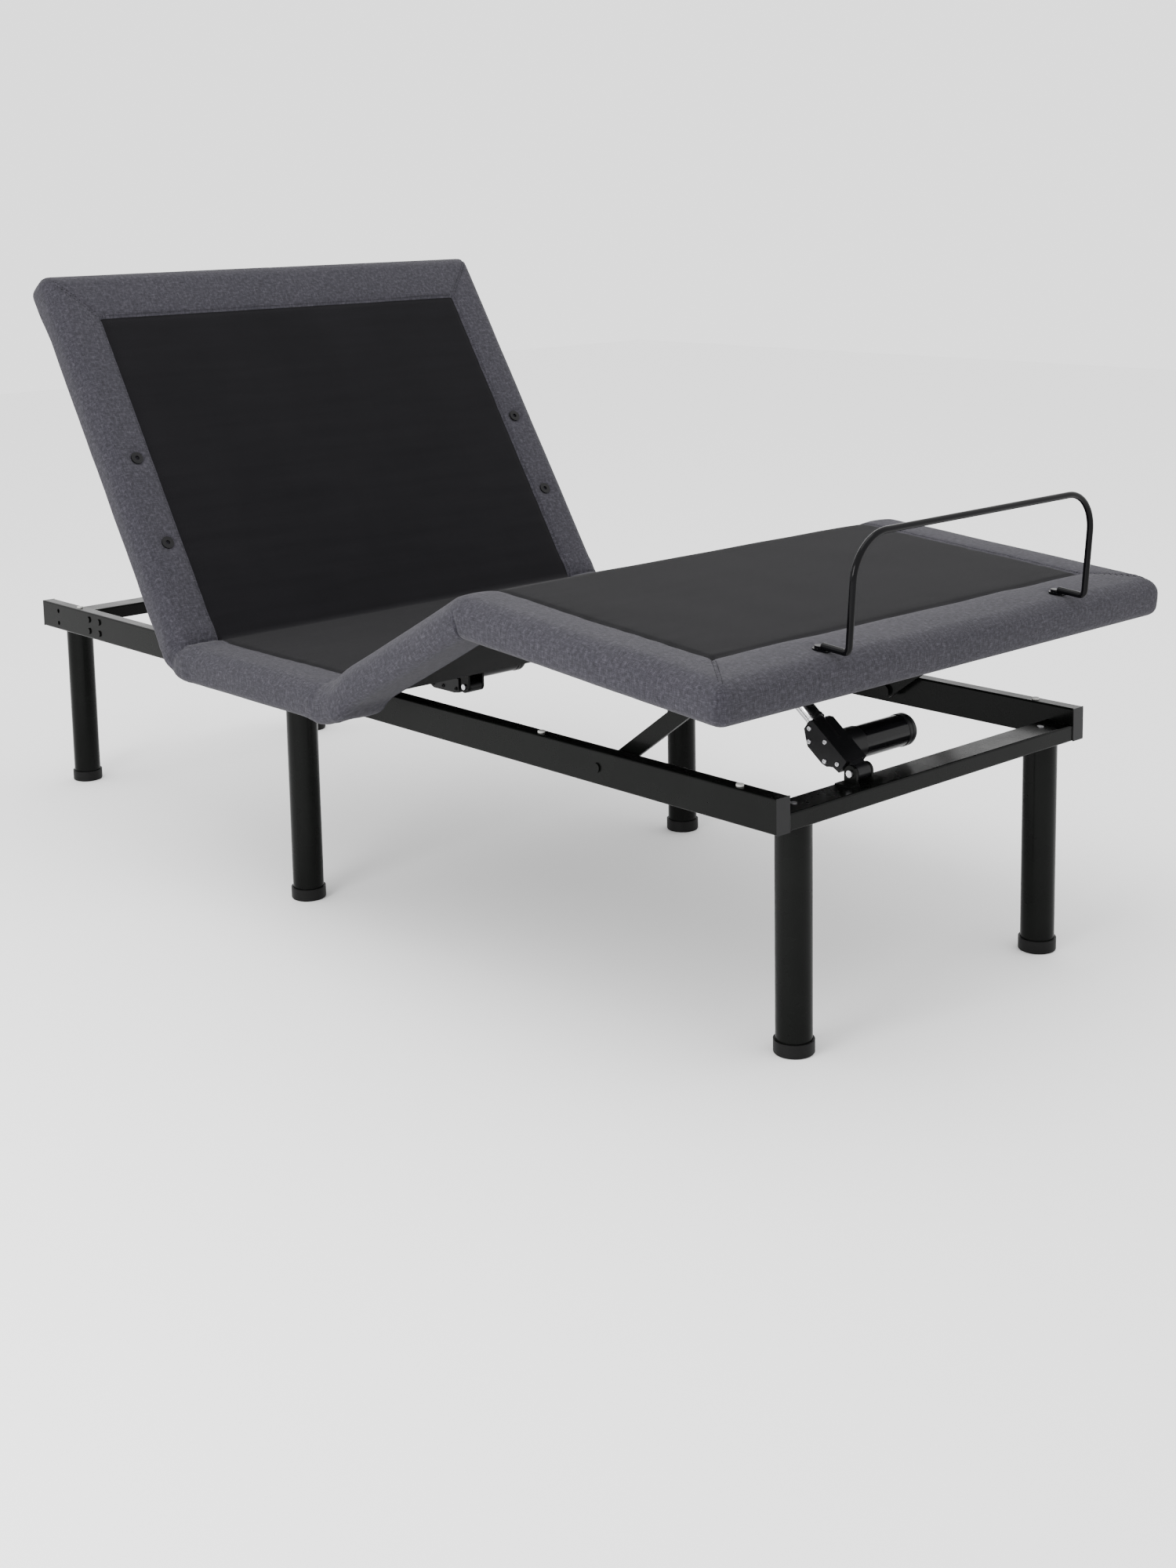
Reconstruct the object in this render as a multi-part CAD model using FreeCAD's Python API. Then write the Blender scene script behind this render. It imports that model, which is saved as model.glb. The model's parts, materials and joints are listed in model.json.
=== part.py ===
import FreeCAD, Part
import math
import os

os.makedirs("parts", exist_ok=True)

V = FreeCAD.Vector
X_AXIS = V(1, 0, 0)

# Adjustable bed base, millimetres. X runs across the bed, Y from foot to head, Z up from the floor.
# It is modelled in its raised pose: back up, thigh up, calf nearly level.

# Deck
deck_width = 965.0
deck_top = 410.0
edge_depth = 58.0
panel_half_width = 400.0
foam_t = 16.5
board_depth = 20.0
board_t = 15.0
axis_depth = 12.0
fold_gap = 10.0
knee_gap = 16.0
board_gap = 2.0
knee_board_gap = 9.0
soft_gap = 0.5

# Sections, measured between fold axes on the flat deck
seat_front_axis = 892.0
seat_length = 405.0
thigh_length = 388.0
calf_length = 521.0
back_length = 736.0

# Folding angles in the raised pose
back_angle = 57.6
thigh_angle = 28.2
calf_slope = 4.5

# Side rails and cross rails
rail_outer_half = 340.0
rail_w = 25.0
rail_h = 50.0
rail_wall = 2.0
rail_top = 372.0
rail_start = 72.0
rail_seam = 1832.0
rail_end = 2024.0
tube_corner = 3.0
cross_w = 50.0
cross_h = 25.0
seat_front_cross = 1068.0
seat_rear_cross = 1225.0

# Rail splice
splice_half_length = 100.0
splice_clear = 0.3
splice_bolt_r = 4.0
splice_bolt_rise = 11.0
splice_bolt_back = 24.0
splice_bolt_front = 14.0

# Legs
leg_r = 25.5
leg_wall = 1.5
leg_top_t = 6.0
foot_leg_x = 275.0
foot_leg_offset = 4.0
mid_left_x = -375.0
mid_left_y = 1089.0
mid_right_x = 327.0
mid_right_y = 912.0
stud_r = 5.0
stud_length = 50.0
glide_wall = 3.0
glide_h = 20.0
glide_floor = 6.0

# Rail-top rest bumpers and seat mounting
bumper_r = 5.5
bumper_gap = 0.3
bumper_rows = [148.0, 545.0, 1480.0, 1900.0]
seat_bolt_rows = [1010.0, 1180.0]
seat_bolt_r = 4.0

# Hinges
knuckle_r = 4.5
hinge_pin_r = 2.5
pin_clear = 0.06
leaf_t = 3.0
leaf_reach = 62.0
knuckle_len = 18.0
knuckle_space = 0.6
hinge_rows = [-300.0, 0.0, 300.0]
riser_w = 8.0

# Calf links
link_pin_z = 347.0
link_pivot_along = 356.0
link_pivot_depth = 50.0
link_x = 299.0
link_t = 6.0
link_w = 25.0
link_pin_r = 5.0
pivot_clear = 0.08
link_slot_clear = 2.2
ear_t = 4.0
ear_space = 1.5

# Foot actuator
foot_act_x = -140.0
foot_act_y = 103.0
foot_act_rise = 15.5
foot_eye_along = 235.0
foot_eye_depth = 37.0
act_rod_r = 9.0
act_bore_clear = 0.08
act_eye_r = 12.0
act_pin_r = 5.0
act_ear_space = 2.0
gear_half_w = 21.0
gear_start = 13.0
gear_end = 84.0
nose_end = 148.0
nose_wall = 2.4
rod_tail = 148.0
motor_r = 23.0
motor_len = 108.0
motor_along = 52.0
motor_flange = 1.5
motor_boss = 30.0
foot_motor_drop = -14.0
head_motor_rise = 16.0
slot_clear = 2.4

# Head lift
lift_tube_r = 14.0
lift_tube_bore = 8.0
lift_offset = 28.2
lift_arm = 420.0
lift_arm_x = 250.0
lift_arm_t = 8.0
lift_arm_h = 30.0
roller_r = 25.0
roller_w = 20.0
roller_bore = 6.0
track_t = 3.0
track_w = 34.0
crank_r = 62.0
crank_cheek = 16.0
crank_t = 5.0
head_act_length = 190.0
head_nose_end = 165.0
head_rod_tail = 172.0
crank_slot_clear = 1.9

# Mattress retainer bar
bar_r = 4.75
bar_half_w = 260.0
bar_height = 163.0
bar_corner = 60.0
bar_out = 10.0
bar_foot = 44.0
tab_r = 9.0

# Control box
control_y = 1130.0

# Back side sockets
socket_r = 11.0
socket_hole = 4.0
socket_x = 430.0
socket_up = [196.0, 360.0]

# Derived levels and axes
half_w = deck_width / 2
rail_bottom = rail_top - rail_h
rail_inner_half = rail_outer_half - rail_w
rail_mid_x = rail_outer_half - rail_w / 2
glide_r = leg_r + glide_wall
nose_r = act_rod_r + nose_wall
axis_z = deck_top - axis_depth
board_top = deck_top - board_depth
board_bottom = board_top - board_t
edge_bottom = deck_top - edge_depth
cross_top = rail_bottom + cross_h
back_axis_y = seat_front_axis + seat_length
knee_flat_y = seat_front_axis - thigh_length
foot_end_y = knee_flat_y - calf_length
head_end_y = back_axis_y + back_length
knee_angle = thigh_angle + calf_slope


def turned(y, z, cy, cz, degrees):
    """A point turned about an X axis through (cy, cz); positive lifts the head side."""
    a = math.radians(degrees)
    dy = y - cy
    dz = z - cz
    return (cy + dy * math.cos(a) - dz * math.sin(a), cz + dy * math.sin(a) + dz * math.cos(a))


def knee_at(thigh):
    return turned(knee_flat_y, axis_z, seat_front_axis, axis_z, -thigh)


def calf_point(y, z, thigh):
    """Where a point of the flat calf lies when the thigh is raised by this many degrees."""
    knee = thigh * knee_angle / thigh_angle
    p = turned(y, z, knee_flat_y, axis_z, knee)
    return turned(p[0], p[1], seat_front_axis, axis_z, -thigh)


def polar(a, b):
    """Distance and elevation in degrees from a to b in the YZ plane."""
    return math.hypot(b[0] - a[0], b[1] - a[1]), math.degrees(math.atan2(b[1] - a[1], b[0] - a[0]))


# Calf link: its rail pivot is equally far from the calf pivot in both end poses
link_flat = (knee_flat_y - link_pivot_along, axis_z - link_pivot_depth)
link_raised = calf_point(link_flat[0], link_flat[1], thigh_angle)
mid_y = (link_flat[0] + link_raised[0]) / 2
mid_z = (link_flat[1] + link_raised[1]) / 2
link_pin_y = mid_y - (link_raised[1] - link_flat[1]) * (link_pin_z - mid_z) / (link_raised[0] - link_flat[0])
link_pin = (link_pin_y, link_pin_z)
link_length, link_rest_angle = polar(link_pin, link_raised)
link_flat_angle = polar(link_pin, link_flat)[1] % 360.0
link_swing = link_flat_angle - link_rest_angle

# Foot actuator: base pin on the foot cross rail, eye on the calf bracket
foot_pin = (foot_act_y, cross_top + foot_act_rise)
foot_eye_flat = (knee_flat_y - foot_eye_along, axis_z - foot_eye_depth)
foot_eye = calf_point(foot_eye_flat[0], foot_eye_flat[1], thigh_angle)
foot_len, foot_tilt = polar(foot_pin, foot_eye)
foot_len_flat, foot_tilt_flat = polar(foot_pin, foot_eye_flat)
foot_stroke = foot_len - foot_len_flat
foot_swing = foot_tilt - foot_tilt_flat

# Head lift frame
lift_z = board_bottom - track_t - roller_r - 0.3
lift_y = back_axis_y + lift_offset
crank_pin_z = lift_z - crank_r * math.cos(math.radians(back_angle / 2))
crank_reach = crank_r * math.sin(math.radians(back_angle / 2))
head_eye_y = lift_y + crank_reach
head_stroke = 2 * crank_reach
head_pin_y = lift_y - crank_reach - head_act_length

nodes = {}


def box(x0, x1, y0, y1, z0, z1):
    return Part.makeBox(x1 - x0, y1 - y0, z1 - z0, V(x0, y0, z0))


def rod_x(x0, x1, y, z, r):
    return Part.makeCylinder(r, x1 - x0, V(x0, y, z), X_AXIS)


def rod_y(y0, y1, x, z, r):
    return Part.makeCylinder(r, y1 - y0, V(x, y0, z), V(0, 1, 0))


def rod_z(z0, z1, x, y, r):
    return Part.makeCylinder(r, z1 - z0, V(x, y, z0))


def fuse(shapes):
    out = shapes[0]
    for s in shapes[1:]:
        out = out.fuse(s)
    return out.removeSplitter()


def cut(shape, tools):
    for t in tools:
        shape = shape.cut(t)
    return shape


def group(shapes):
    return Part.makeCompound(shapes)


def mirrored(shape):
    return shape.mirror(V(0, 0, 0), X_AXIS)


def turn(shape, y, z, degrees):
    s = shape.copy()
    s.rotate(V(0, y, z), X_AXIS, degrees)
    return s


def on_back(shape):
    return turn(shape, back_axis_y, axis_z, back_angle)


def on_thigh(shape):
    return turn(shape, seat_front_axis, axis_z, -thigh_angle)


def on_calf(shape):
    return on_thigh(turn(shape, knee_flat_y, axis_z, knee_angle))


def prism(points, x0, x1):
    """A plate cut to this YZ outline, between two X planes."""
    wire = Part.makePolygon([V(x0, y, z) for y, z in points + [points[0]]])
    return Part.Face(wire).extrude(V(x1 - x0, 0, 0))


def rounded_bar(x0, x1, y0, y1, z0, z1, r, axis):
    """A bar with its four long edges rounded."""
    bar = box(x0, x1, y0, y1, z0, z1)
    edges = []
    for e in bar.Edges:
        d = e.Vertexes[1].Point.sub(e.Vertexes[0].Point)
        if abs((d.x, d.y, d.z)[axis]) > 0.99 * d.Length:
            edges.append(e)
    return bar.makeFillet(r, edges)


def tube(x0, x1, y0, y1, z0, z1, axis):
    """An open-ended rectangular tube along X (0) or Y (1)."""
    w = rail_wall
    outer = rounded_bar(x0, x1, y0, y1, z0, z1, tube_corner, axis)
    if axis == 0:
        return outer.cut(box(x0 - 1, x1 + 1, y0 + w, y1 - w, z0 + w, z1 - w))
    return outer.cut(box(x0 + w, x1 - w, y0 - 1, y1 + 1, z0 + w, z1 - w))


def slot_x(x0, x1, start, end, r):
    """A slot of half width r between two YZ points."""
    length, angle = polar(start, end)
    bar = box(x0, x1, start[0], start[0] + length, start[1] - r, start[1] + r)
    bar = turn(bar, start[0], start[1], angle)
    return fuse([bar, rod_x(x0, x1, start[0], start[1], r), rod_x(x0, x1, end[0], end[1], r)])


# Side rails, in two lengths joined over a sleeve
def side_rail(y0, y1):
    return tube(rail_inner_half, rail_outer_half, y0, y1, rail_bottom, rail_top, 1)


splice_y = [rail_seam - splice_bolt_back, rail_seam + splice_bolt_front]
rail_mid_z = rail_bottom + rail_h / 2
splice_holes = []
splice_bolts = []
for y in splice_y:
    for z in (rail_mid_z - splice_bolt_rise, rail_mid_z + splice_bolt_rise):
        splice_holes.append(rod_x(rail_inner_half - 5, rail_outer_half + 5, y, z, splice_bolt_r + splice_clear))
        shank = rod_x(rail_inner_half - 3, rail_outer_half, y, z, splice_bolt_r)
        head = rod_x(rail_outer_half, rail_outer_half + 2.5, y, z, splice_bolt_r * 1.5)
        nut = rod_x(rail_inner_half - 6, rail_inner_half, y, z, splice_bolt_r * 1.7)
        splice_bolts.append(fuse([shank, head, nut]))

rail_bolt_hole = rod_x(rail_inner_half - 5, rail_outer_half + 5, link_pin[0], link_pin[1], link_pin_r + pivot_clear)
seat_bolt_holes = []
for y in seat_bolt_rows:
    seat_bolt_holes.append(rod_z(rail_top - 10, board_top + 5, rail_mid_x, y, seat_bolt_r + splice_clear))
rail_main = cut(side_rail(rail_start, rail_seam), splice_holes + [rail_bolt_hole] + seat_bolt_holes)

headboard_z = [rail_mid_z - 12.0, rail_mid_z + 12.0]
headboard_y = rail_end - 60.0
headboard_r = 4.25
headboard_holes = []
for z in headboard_z:
    headboard_holes.append(rod_x(rail_outer_half - 10, rail_outer_half + 5, headboard_y, z, headboard_r))
rail_head = cut(side_rail(rail_seam, rail_end), splice_holes + headboard_holes)
in_wall = rail_wall + splice_clear
sleeve = tube(rail_inner_half + in_wall, rail_outer_half - in_wall, rail_seam - splice_half_length,
              rail_seam + splice_half_length, rail_bottom + in_wall, rail_top - in_wall, 1)
sleeve = cut(sleeve, splice_holes)
nodes["right_side_rail"] = rail_main
nodes["left_side_rail"] = mirrored(rail_main)
nodes["rail_head_sections"] = group([rail_head, mirrored(rail_head)])
nodes["rail_splice_sleeves"] = group([sleeve, mirrored(sleeve)])
nodes["rail_splice_bolts"] = group(splice_bolts + [mirrored(b) for b in splice_bolts])

caps = []
for y0, y1 in ((rail_start - 1.5, rail_start), (rail_end, rail_end + 1.5)):
    plate = box(rail_inner_half, rail_outer_half, y0, y1, rail_bottom, rail_top)
    caps += [plate, mirrored(plate)]
nodes["rail_end_caps"] = group(caps)

# Cross rails, welded between the side rails
leg_places = {}
stud_top = stud_length - 24.0


def cross_rail(y0):
    return tube(-rail_inner_half, rail_inner_half, y0, y0 + cross_w, rail_bottom, cross_top, 0)


foot_leg_y = rail_start + cross_w / 2 + foot_leg_offset
head_leg_y = rail_end - cross_w / 2 + foot_leg_offset
for end, y in (("foot", foot_leg_y), ("head", head_leg_y)):
    leg_places[end + "_left_leg"] = (-foot_leg_x, y)
    leg_places[end + "_right_leg"] = (foot_leg_x, y)
leg_places["mid_left_leg"] = (mid_left_x, mid_left_y)
leg_places["mid_right_leg"] = (mid_right_x, mid_right_y)
stud_holes = [rod_z(rail_bottom - 20, rail_bottom + 40, x, y, stud_r + splice_clear) for x, y in leg_places.values()]
nodes["foot_cross_rail"] = cut(cross_rail(rail_start), stud_holes)
nodes["head_cross_rail"] = cut(cross_rail(rail_end - cross_w), stud_holes)
nodes["seat_cross_rails"] = group([cross_rail(seat_front_cross), cross_rail(seat_rear_cross)])

# The left middle leg stands outboard of its rail on a bolted bracket
bracket = box(mid_left_x - 24, -rail_outer_half, mid_left_y - 45, mid_left_y + 45, rail_bottom, rail_bottom + 5)
upright = box(-rail_outer_half - 5, -rail_outer_half, mid_left_y - 45, mid_left_y + 45, rail_bottom, rail_top - 4)
web = prism([(mid_left_y - 45, rail_bottom), (mid_left_y - 41, rail_bottom),
             (mid_left_y - 41, rail_bottom + 24), (mid_left_y - 45, rail_bottom + 24)],
            -rail_outer_half - 26, -rail_outer_half)
far_web = web.copy()
far_web.translate(V(0, 86, 0))
nodes["mid_leg_bracket"] = cut(fuse([bracket, upright, web, far_web]), stud_holes)
nodes["right_side_rail"] = cut(nodes["right_side_rail"], stud_holes)

# Legs: steel tube with a welded top plate, stud and push-on glide
for pair in ("foot", "mid", "head"):
    legs = []
    for side in ("left", "right"):
        x, y = leg_places[pair + "_" + side + "_leg"]
        leg = rod_z(glide_floor, rail_bottom, x, y, leg_r)
        leg = leg.cut(rod_z(glide_floor - 1, rail_bottom - leg_top_t, x, y, leg_r - leg_wall))
        legs.append(cut(leg, stud_holes))
    nodes[pair + "_legs"] = group(legs)
nodes["leg_studs"] = group([rod_z(rail_bottom - 24, rail_bottom + stud_top, x, y, stud_r)
                            if name != "mid_left_leg" else rod_z(rail_bottom - 24, rail_bottom + 12, x, y, stud_r)
                            for name, (x, y) in leg_places.items()])
glides = []
for x, y in leg_places.values():
    cup = rod_z(0, glide_h, x, y, glide_r)
    cup = cup.makeFillet(3.0, [cup.Edges[2]])
    glides.append(cup.cut(rod_z(glide_floor, glide_h + 1, x, y, leg_r + 0.2)))
nodes["leg_glides"] = group(glides)

# Rest bumpers on the rail tops
bumper_top = board_bottom - bumper_gap
bumpers = []
for y in bumper_rows:
    b = rod_z(rail_top, bumper_top, rail_mid_x, y, bumper_r)
    bumpers += [b, mirrored(b)]

# Seat: board bolted through spacers to the rails, with foam and edge bolsters
seat_y0 = seat_front_axis + fold_gap
seat_y1 = back_axis_y - fold_gap


def board(y0, y1):
    edge = panel_half_width - 4
    return box(-edge, edge, y0, y1, board_bottom, board_top)


def foam(y0, y1):
    return rounded_bar(-half_w, half_w, y0, y1, deck_top - foam_t, deck_top, 8.0, 1)


def side_bolster(y0, y1):
    strip = box(panel_half_width, half_w, y0, y1, edge_bottom, deck_top - foam_t - soft_gap)
    return [strip, mirrored(strip)]


seat_bolts = []
spacers = []
for y in seat_bolt_rows:
    shank = rod_z(rail_top - 8, board_top, rail_mid_x, y, seat_bolt_r)
    head = rod_z(board_top, board_top + 2.5, rail_mid_x, y, seat_bolt_r * 2)
    bolt = fuse([shank, head])
    pad = rod_z(rail_top, board_bottom, rail_mid_x, y, 11.0).cut(rod_z(rail_top - 1, board_bottom + 1, rail_mid_x, y,
                                                                      seat_bolt_r + splice_clear))
    seat_bolts += [bolt, mirrored(bolt)]
    spacers += [pad, mirrored(pad)]
nodes["seat_bolts"] = group(seat_bolts)
nodes["rail_bumpers"] = group(bumpers + spacers)
all_seat_holes = seat_bolt_holes + [mirrored(h) for h in seat_bolt_holes]
nodes["seat_board"] = cut(board(seat_front_axis + board_gap, back_axis_y - board_gap), all_seat_holes)
nodes["seat_foam"] = foam(seat_y0, seat_y1)
nodes["seat_bolsters"] = group(side_bolster(seat_y0, seat_y1))

# Back section
skirt_t = 5.0
back_board = board(back_axis_y + board_gap, head_end_y - skirt_t - soft_gap)
nodes["back_foam"] = on_back(foam(back_axis_y + fold_gap, head_end_y))
back_skirt = box(-panel_half_width + soft_gap, panel_half_width - soft_gap, head_end_y - skirt_t, head_end_y,
                 edge_bottom, deck_top - foam_t - soft_gap)
back_edges = side_bolster(back_axis_y + fold_gap, head_end_y) + [back_skirt]
nodes["back_bolsters"] = on_back(group(back_edges))
nodes["back_board"] = on_back(back_board)
sockets = []
socket_bores = []
for up in socket_up:
    y = back_axis_y + up
    s = rod_z(deck_top, deck_top + 2.5, socket_x, y, socket_r).cut(rod_z(deck_top - 1, deck_top + 4, socket_x, y,
                                                                       socket_hole))
    sockets += [s, mirrored(s)]
nodes["back_side_sockets"] = on_back(group(sockets))

# Thigh section
nodes["thigh_board"] = on_thigh(board(knee_flat_y + knee_board_gap, seat_front_axis - board_gap))
nodes["thigh_foam"] = on_thigh(foam(knee_flat_y + fold_gap, seat_front_axis - fold_gap))
nodes["thigh_bolsters"] = on_thigh(group(side_bolster(knee_flat_y + knee_gap, seat_front_axis - fold_gap)))

# Calf section, with a full-depth bolster beyond the rail ends at the foot
foot_bolster_end = rail_start - 8.0
calf_board_start = foot_end_y + 30.0
foot_bolster = box(-panel_half_width + soft_gap, panel_half_width - soft_gap, foot_end_y, foot_bolster_end,
                   edge_bottom, board_bottom - soft_gap)
foot_facing = box(-panel_half_width + soft_gap, panel_half_width - soft_gap, foot_end_y,
                  calf_board_start - soft_gap, board_bottom, deck_top - foam_t - soft_gap)
nodes["calf_bolsters"] = on_calf(group(side_bolster(foot_end_y, knee_flat_y - knee_gap) + [foot_bolster, foot_facing]))
nodes["calf_foam"] = on_calf(foam(foot_end_y, knee_flat_y - fold_gap))
nodes["calf_board"] = on_calf(board(calf_board_start, knee_flat_y - knee_board_gap))


# Butt hinges: three to a fold, five knuckles each
def hinge(axis_y, side, mine):
    """One leaf set on the +Y (side 1) or -Y (side -1) side, owning knuckles where mine is true."""
    out = []
    hinge_half = 2.5 * knuckle_len
    for xc in hinge_rows:
        pieces = []
        y_in = axis_y + side * (riser_w + 2.0)
        y_out = axis_y + side * leaf_reach
        pieces.append(box(xc - hinge_half, xc + hinge_half, min(y_in, y_out), max(y_in, y_out), board_top,
                          board_top + leaf_t))
        for k in range(5):
            if (k % 2 == 0) != mine:
                continue
            x0 = xc - hinge_half + k * knuckle_len + knuckle_space / 2
            x1 = x0 + knuckle_len - knuckle_space
            pieces.append(rod_x(x0, x1, axis_y, axis_z, knuckle_r))
            ys = sorted((axis_y, axis_y + side * riser_w))
            pieces.append(box(x0, x1, ys[0], ys[1], board_top + 0.2, axis_z))
            ys = sorted((axis_y + side * (riser_w - 4), y_in + side * 1.0))
            pieces.append(box(x0, x1, ys[0], ys[1], board_top + 0.2, board_top + leaf_t))
        leaf = fuse(pieces)
        clear = 0.0 if mine else pin_clear
        out.append(leaf.cut(rod_x(xc - hinge_half - 1, xc + hinge_half + 1, axis_y, axis_z, hinge_pin_r + clear)))
    return out


def hinge_pins(axis_y):
    half = 2.5 * knuckle_len
    return [rod_x(x - half, x + half, axis_y, axis_z, hinge_pin_r) for x in hinge_rows]


nodes["seat_hinge_leaves"] = group(hinge(back_axis_y, -1, True) + hinge(seat_front_axis, 1, True))
nodes["seat_hinge_pins"] = group(hinge_pins(back_axis_y) + hinge_pins(seat_front_axis))
nodes["back_hinge_leaves"] = on_back(group(hinge(back_axis_y, 1, False)))
nodes["thigh_hinge_leaves"] = on_thigh(group(hinge(seat_front_axis, -1, False) + hinge(knee_flat_y, 1, True)))
nodes["knee_hinge_pins"] = on_thigh(group(hinge_pins(knee_flat_y)))
nodes["calf_hinge_leaves"] = on_calf(group(hinge(knee_flat_y, -1, False)))

# Calf links: flat struts from the rails to brackets under the calf
link_bolt = fuse([rod_x(link_x - link_t / 2 - 6, rail_outer_half, link_pin[0], link_pin[1], link_pin_r),
                  rod_x(rail_outer_half, rail_outer_half + 2.5, link_pin[0], link_pin[1], 7.0),
                  rod_x(link_x - link_t / 2 - 6, link_x - link_t / 2 - 0.4, link_pin[0], link_pin[1], 9.0)])
bush = rod_x(link_x + link_t / 2 + 0.4, rail_inner_half, link_pin[0], link_pin[1], 9.0)
bush = bush.cut(rod_x(link_x, rail_outer_half, link_pin[0], link_pin[1], link_pin_r))
nodes["link_pivot_bolts"] = group([link_bolt, bush, mirrored(link_bolt), mirrored(bush)])
lx0 = link_x - link_t / 2
lx1 = link_x + link_t / 2
link = slot_x(lx0, lx1, link_pin, (link_pin[0] + link_length, link_pin[1]), link_w / 2)
link = link.cut(rod_x(lx0 - 1, lx1 + 1, link_pin[0], link_pin[1], link_pin_r + pivot_clear))
stub_half = link_t / 2 + ear_space + ear_t + 2
stub = rod_x(link_x - stub_half, link_x + stub_half, link_pin[0] + link_length, link_pin[1], link_pin_r)
link = turn(fuse([link, stub]), link_pin[0], link_pin[1], link_rest_angle)
nodes["right_calf_link"] = link
nodes["left_calf_link"] = mirrored(link)


def ear(x0, x1, centre, drop, width):
    """A bracket ear hanging from the board, rounded at its tip, with a bolted foot outward."""
    y, z = centre
    plate = fuse([box(x0, x1, y - width, y + width, z, board_bottom), rod_x(x0, x1, y, z, width)])
    return plate


link_ears = []
for x0 in (lx0 - ear_space - ear_t, lx1 + ear_space):
    plate = ear(x0, x0 + ear_t, link_flat, 0, 14.0)
    out = -14.0 if x0 < link_x else 4.0
    x_foot = x0 + (0 if x0 < link_x else ear_t)
    flange = box(min(x_foot, x_foot + (out if out < 0 else 0.0)), max(x_foot, x_foot + (out if out > 0 else 0.0)),
                 link_flat[0] - 14, link_flat[0] + 14, board_bottom - 3, board_bottom)
    plate = fuse([plate, flange])
    link_ears.append(plate.cut(rod_x(x0 - 1, x0 + ear_t + 1, link_flat[0], link_flat[1],
                                     link_pin_r + link_slot_clear)))
nodes["calf_link_brackets"] = on_calf(group(link_ears + [mirrored(e) for e in link_ears]))


# Linear actuators, built pointing along +Y from a base pin at (0, 0) and then placed
def actuator(x, outline, start, nose_to, length, tail, motor_s, motor_n):
    """Returns gearbox with nose tube, motor and rod, each around the line through the base pin."""
    g0 = x - gear_half_w
    g1 = x + gear_half_w
    gear = prism(outline, g0, g1)
    lug = fuse([rod_x(x - 13, x + 13, 0, 0, act_eye_r - 1), box(x - 13, x + 13, 0, start + 0.5, -9, 9)])
    boss_end = g1 + motor_boss
    boss = rod_x(x, boss_end, motor_s, motor_n, motor_r + motor_flange)
    gear = fuse([gear, lug, boss, rod_y(start + 40, nose_to, x, 0, nose_r)])
    gear = gear.cut(rod_x(x - 14, x + 14, 0, 0, act_pin_r + pivot_clear))
    gear = gear.cut(rod_y(start + 2, nose_to + 1, x, 0, act_rod_r + act_bore_clear))
    motor = rod_x(boss_end, boss_end + motor_len, motor_s, motor_n, motor_r)
    motor = motor.makeFillet(5.0, [motor.Edges[0]])
    half = act_eye_r - 2
    rod = rod_y(length - tail, length - 4, x, 0, act_rod_r)
    eye = rod_x(x - half, x + half, length, 0, act_eye_r)
    pin = rod_x(x - half - act_ear_space - 8, x + half + act_ear_space + 8, length, 0, act_pin_r)
    return gear, motor, fuse([rod, eye, pin])


def placed(shape, y, z, degrees):
    s = turn(shape, 0, 0, degrees)
    s.translate(V(0, y, z))
    return s


foot_outline = [(gear_start, 10.5), (gear_start, -12.0), (26.0, -14.0), (33.0, -22.0), (42.0, -25.0),
                (gear_end - 10, -25.0), (gear_end, -18.0), (gear_end + 10, -9.5), (gear_end + 10, 6.0),
                (gear_end + 4, 10.5)]
gear, motor, rod = actuator(foot_act_x, foot_outline, gear_start, nose_end, foot_len, rod_tail, motor_along,
                            foot_motor_drop)
nodes["foot_gearbox"] = placed(gear, foot_pin[0], foot_pin[1], foot_tilt)
nodes["foot_motor"] = placed(motor, foot_pin[0], foot_pin[1], foot_tilt)
nodes["foot_actuator_rod"] = placed(rod, foot_pin[0], foot_pin[1], foot_tilt)

head_outline = [(gear_start, 12.0), (gear_start, -12.0), (26.0, -14.0), (gear_end, -14.0), (gear_end + 10, -9.0),
                (gear_end + 10, 28.0), (gear_end, 42.0), (38.0, 42.0), (28.0, 14.0)]
gear, motor, rod = actuator(0.0, head_outline, gear_start, head_nose_end, head_act_length + head_stroke,
                            head_rod_tail, 62.0, head_motor_rise)
nodes["head_gearbox"] = placed(gear, head_pin_y, crank_pin_z, 0)
nodes["head_motor"] = placed(motor, head_pin_y, crank_pin_z, 0)
nodes["head_actuator_rod"] = placed(rod, head_pin_y, crank_pin_z, 0)


# Base brackets and pins
def base_ears(x, y, z, z_to):
    lo = min(z, z_to)
    hi = max(z, z_to)
    out = []
    for x0 in (x - 18.0, x + 14.0):
        out.append(box(x0, x0 + 4, y - 11, y + 11, lo, hi))
        out.append(rod_x(x0, x0 + 4, y, z, 11.0))
    return out


pin_hole = rod_x(foot_act_x - 25, foot_act_x + 25, foot_pin[0], foot_pin[1], act_pin_r)
foot_flanges = [box(foot_act_x - 34, foot_act_x - 14, foot_pin[0] - 14, foot_pin[0] + 14, cross_top, cross_top + 3),
                box(foot_act_x + 14, foot_act_x + 34, foot_pin[0] - 14, foot_pin[0] + 14, cross_top, cross_top + 3)]
foot_bracket = []
for k in (0, 1):
    foot_bracket.append(fuse(base_ears(foot_act_x, foot_pin[0], foot_pin[1], cross_top)[2 * k:2 * k + 2]
                             + [foot_flanges[k]]).cut(pin_hole))
head_hole = rod_x(-25, 25, head_pin_y, crank_pin_z, act_pin_r)
head_bracket = []
for k in (0, 1):
    plate = base_ears(0.0, head_pin_y, crank_pin_z, rail_bottom)[2 * k:2 * k + 2]
    x0 = -34.0 if k == 0 else 14.0
    flange = box(x0, x0 + 20, head_pin_y - 14, head_pin_y + 11, rail_bottom - 3, rail_bottom)
    head_bracket.append(fuse(plate + [flange]).cut(head_hole))
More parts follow.
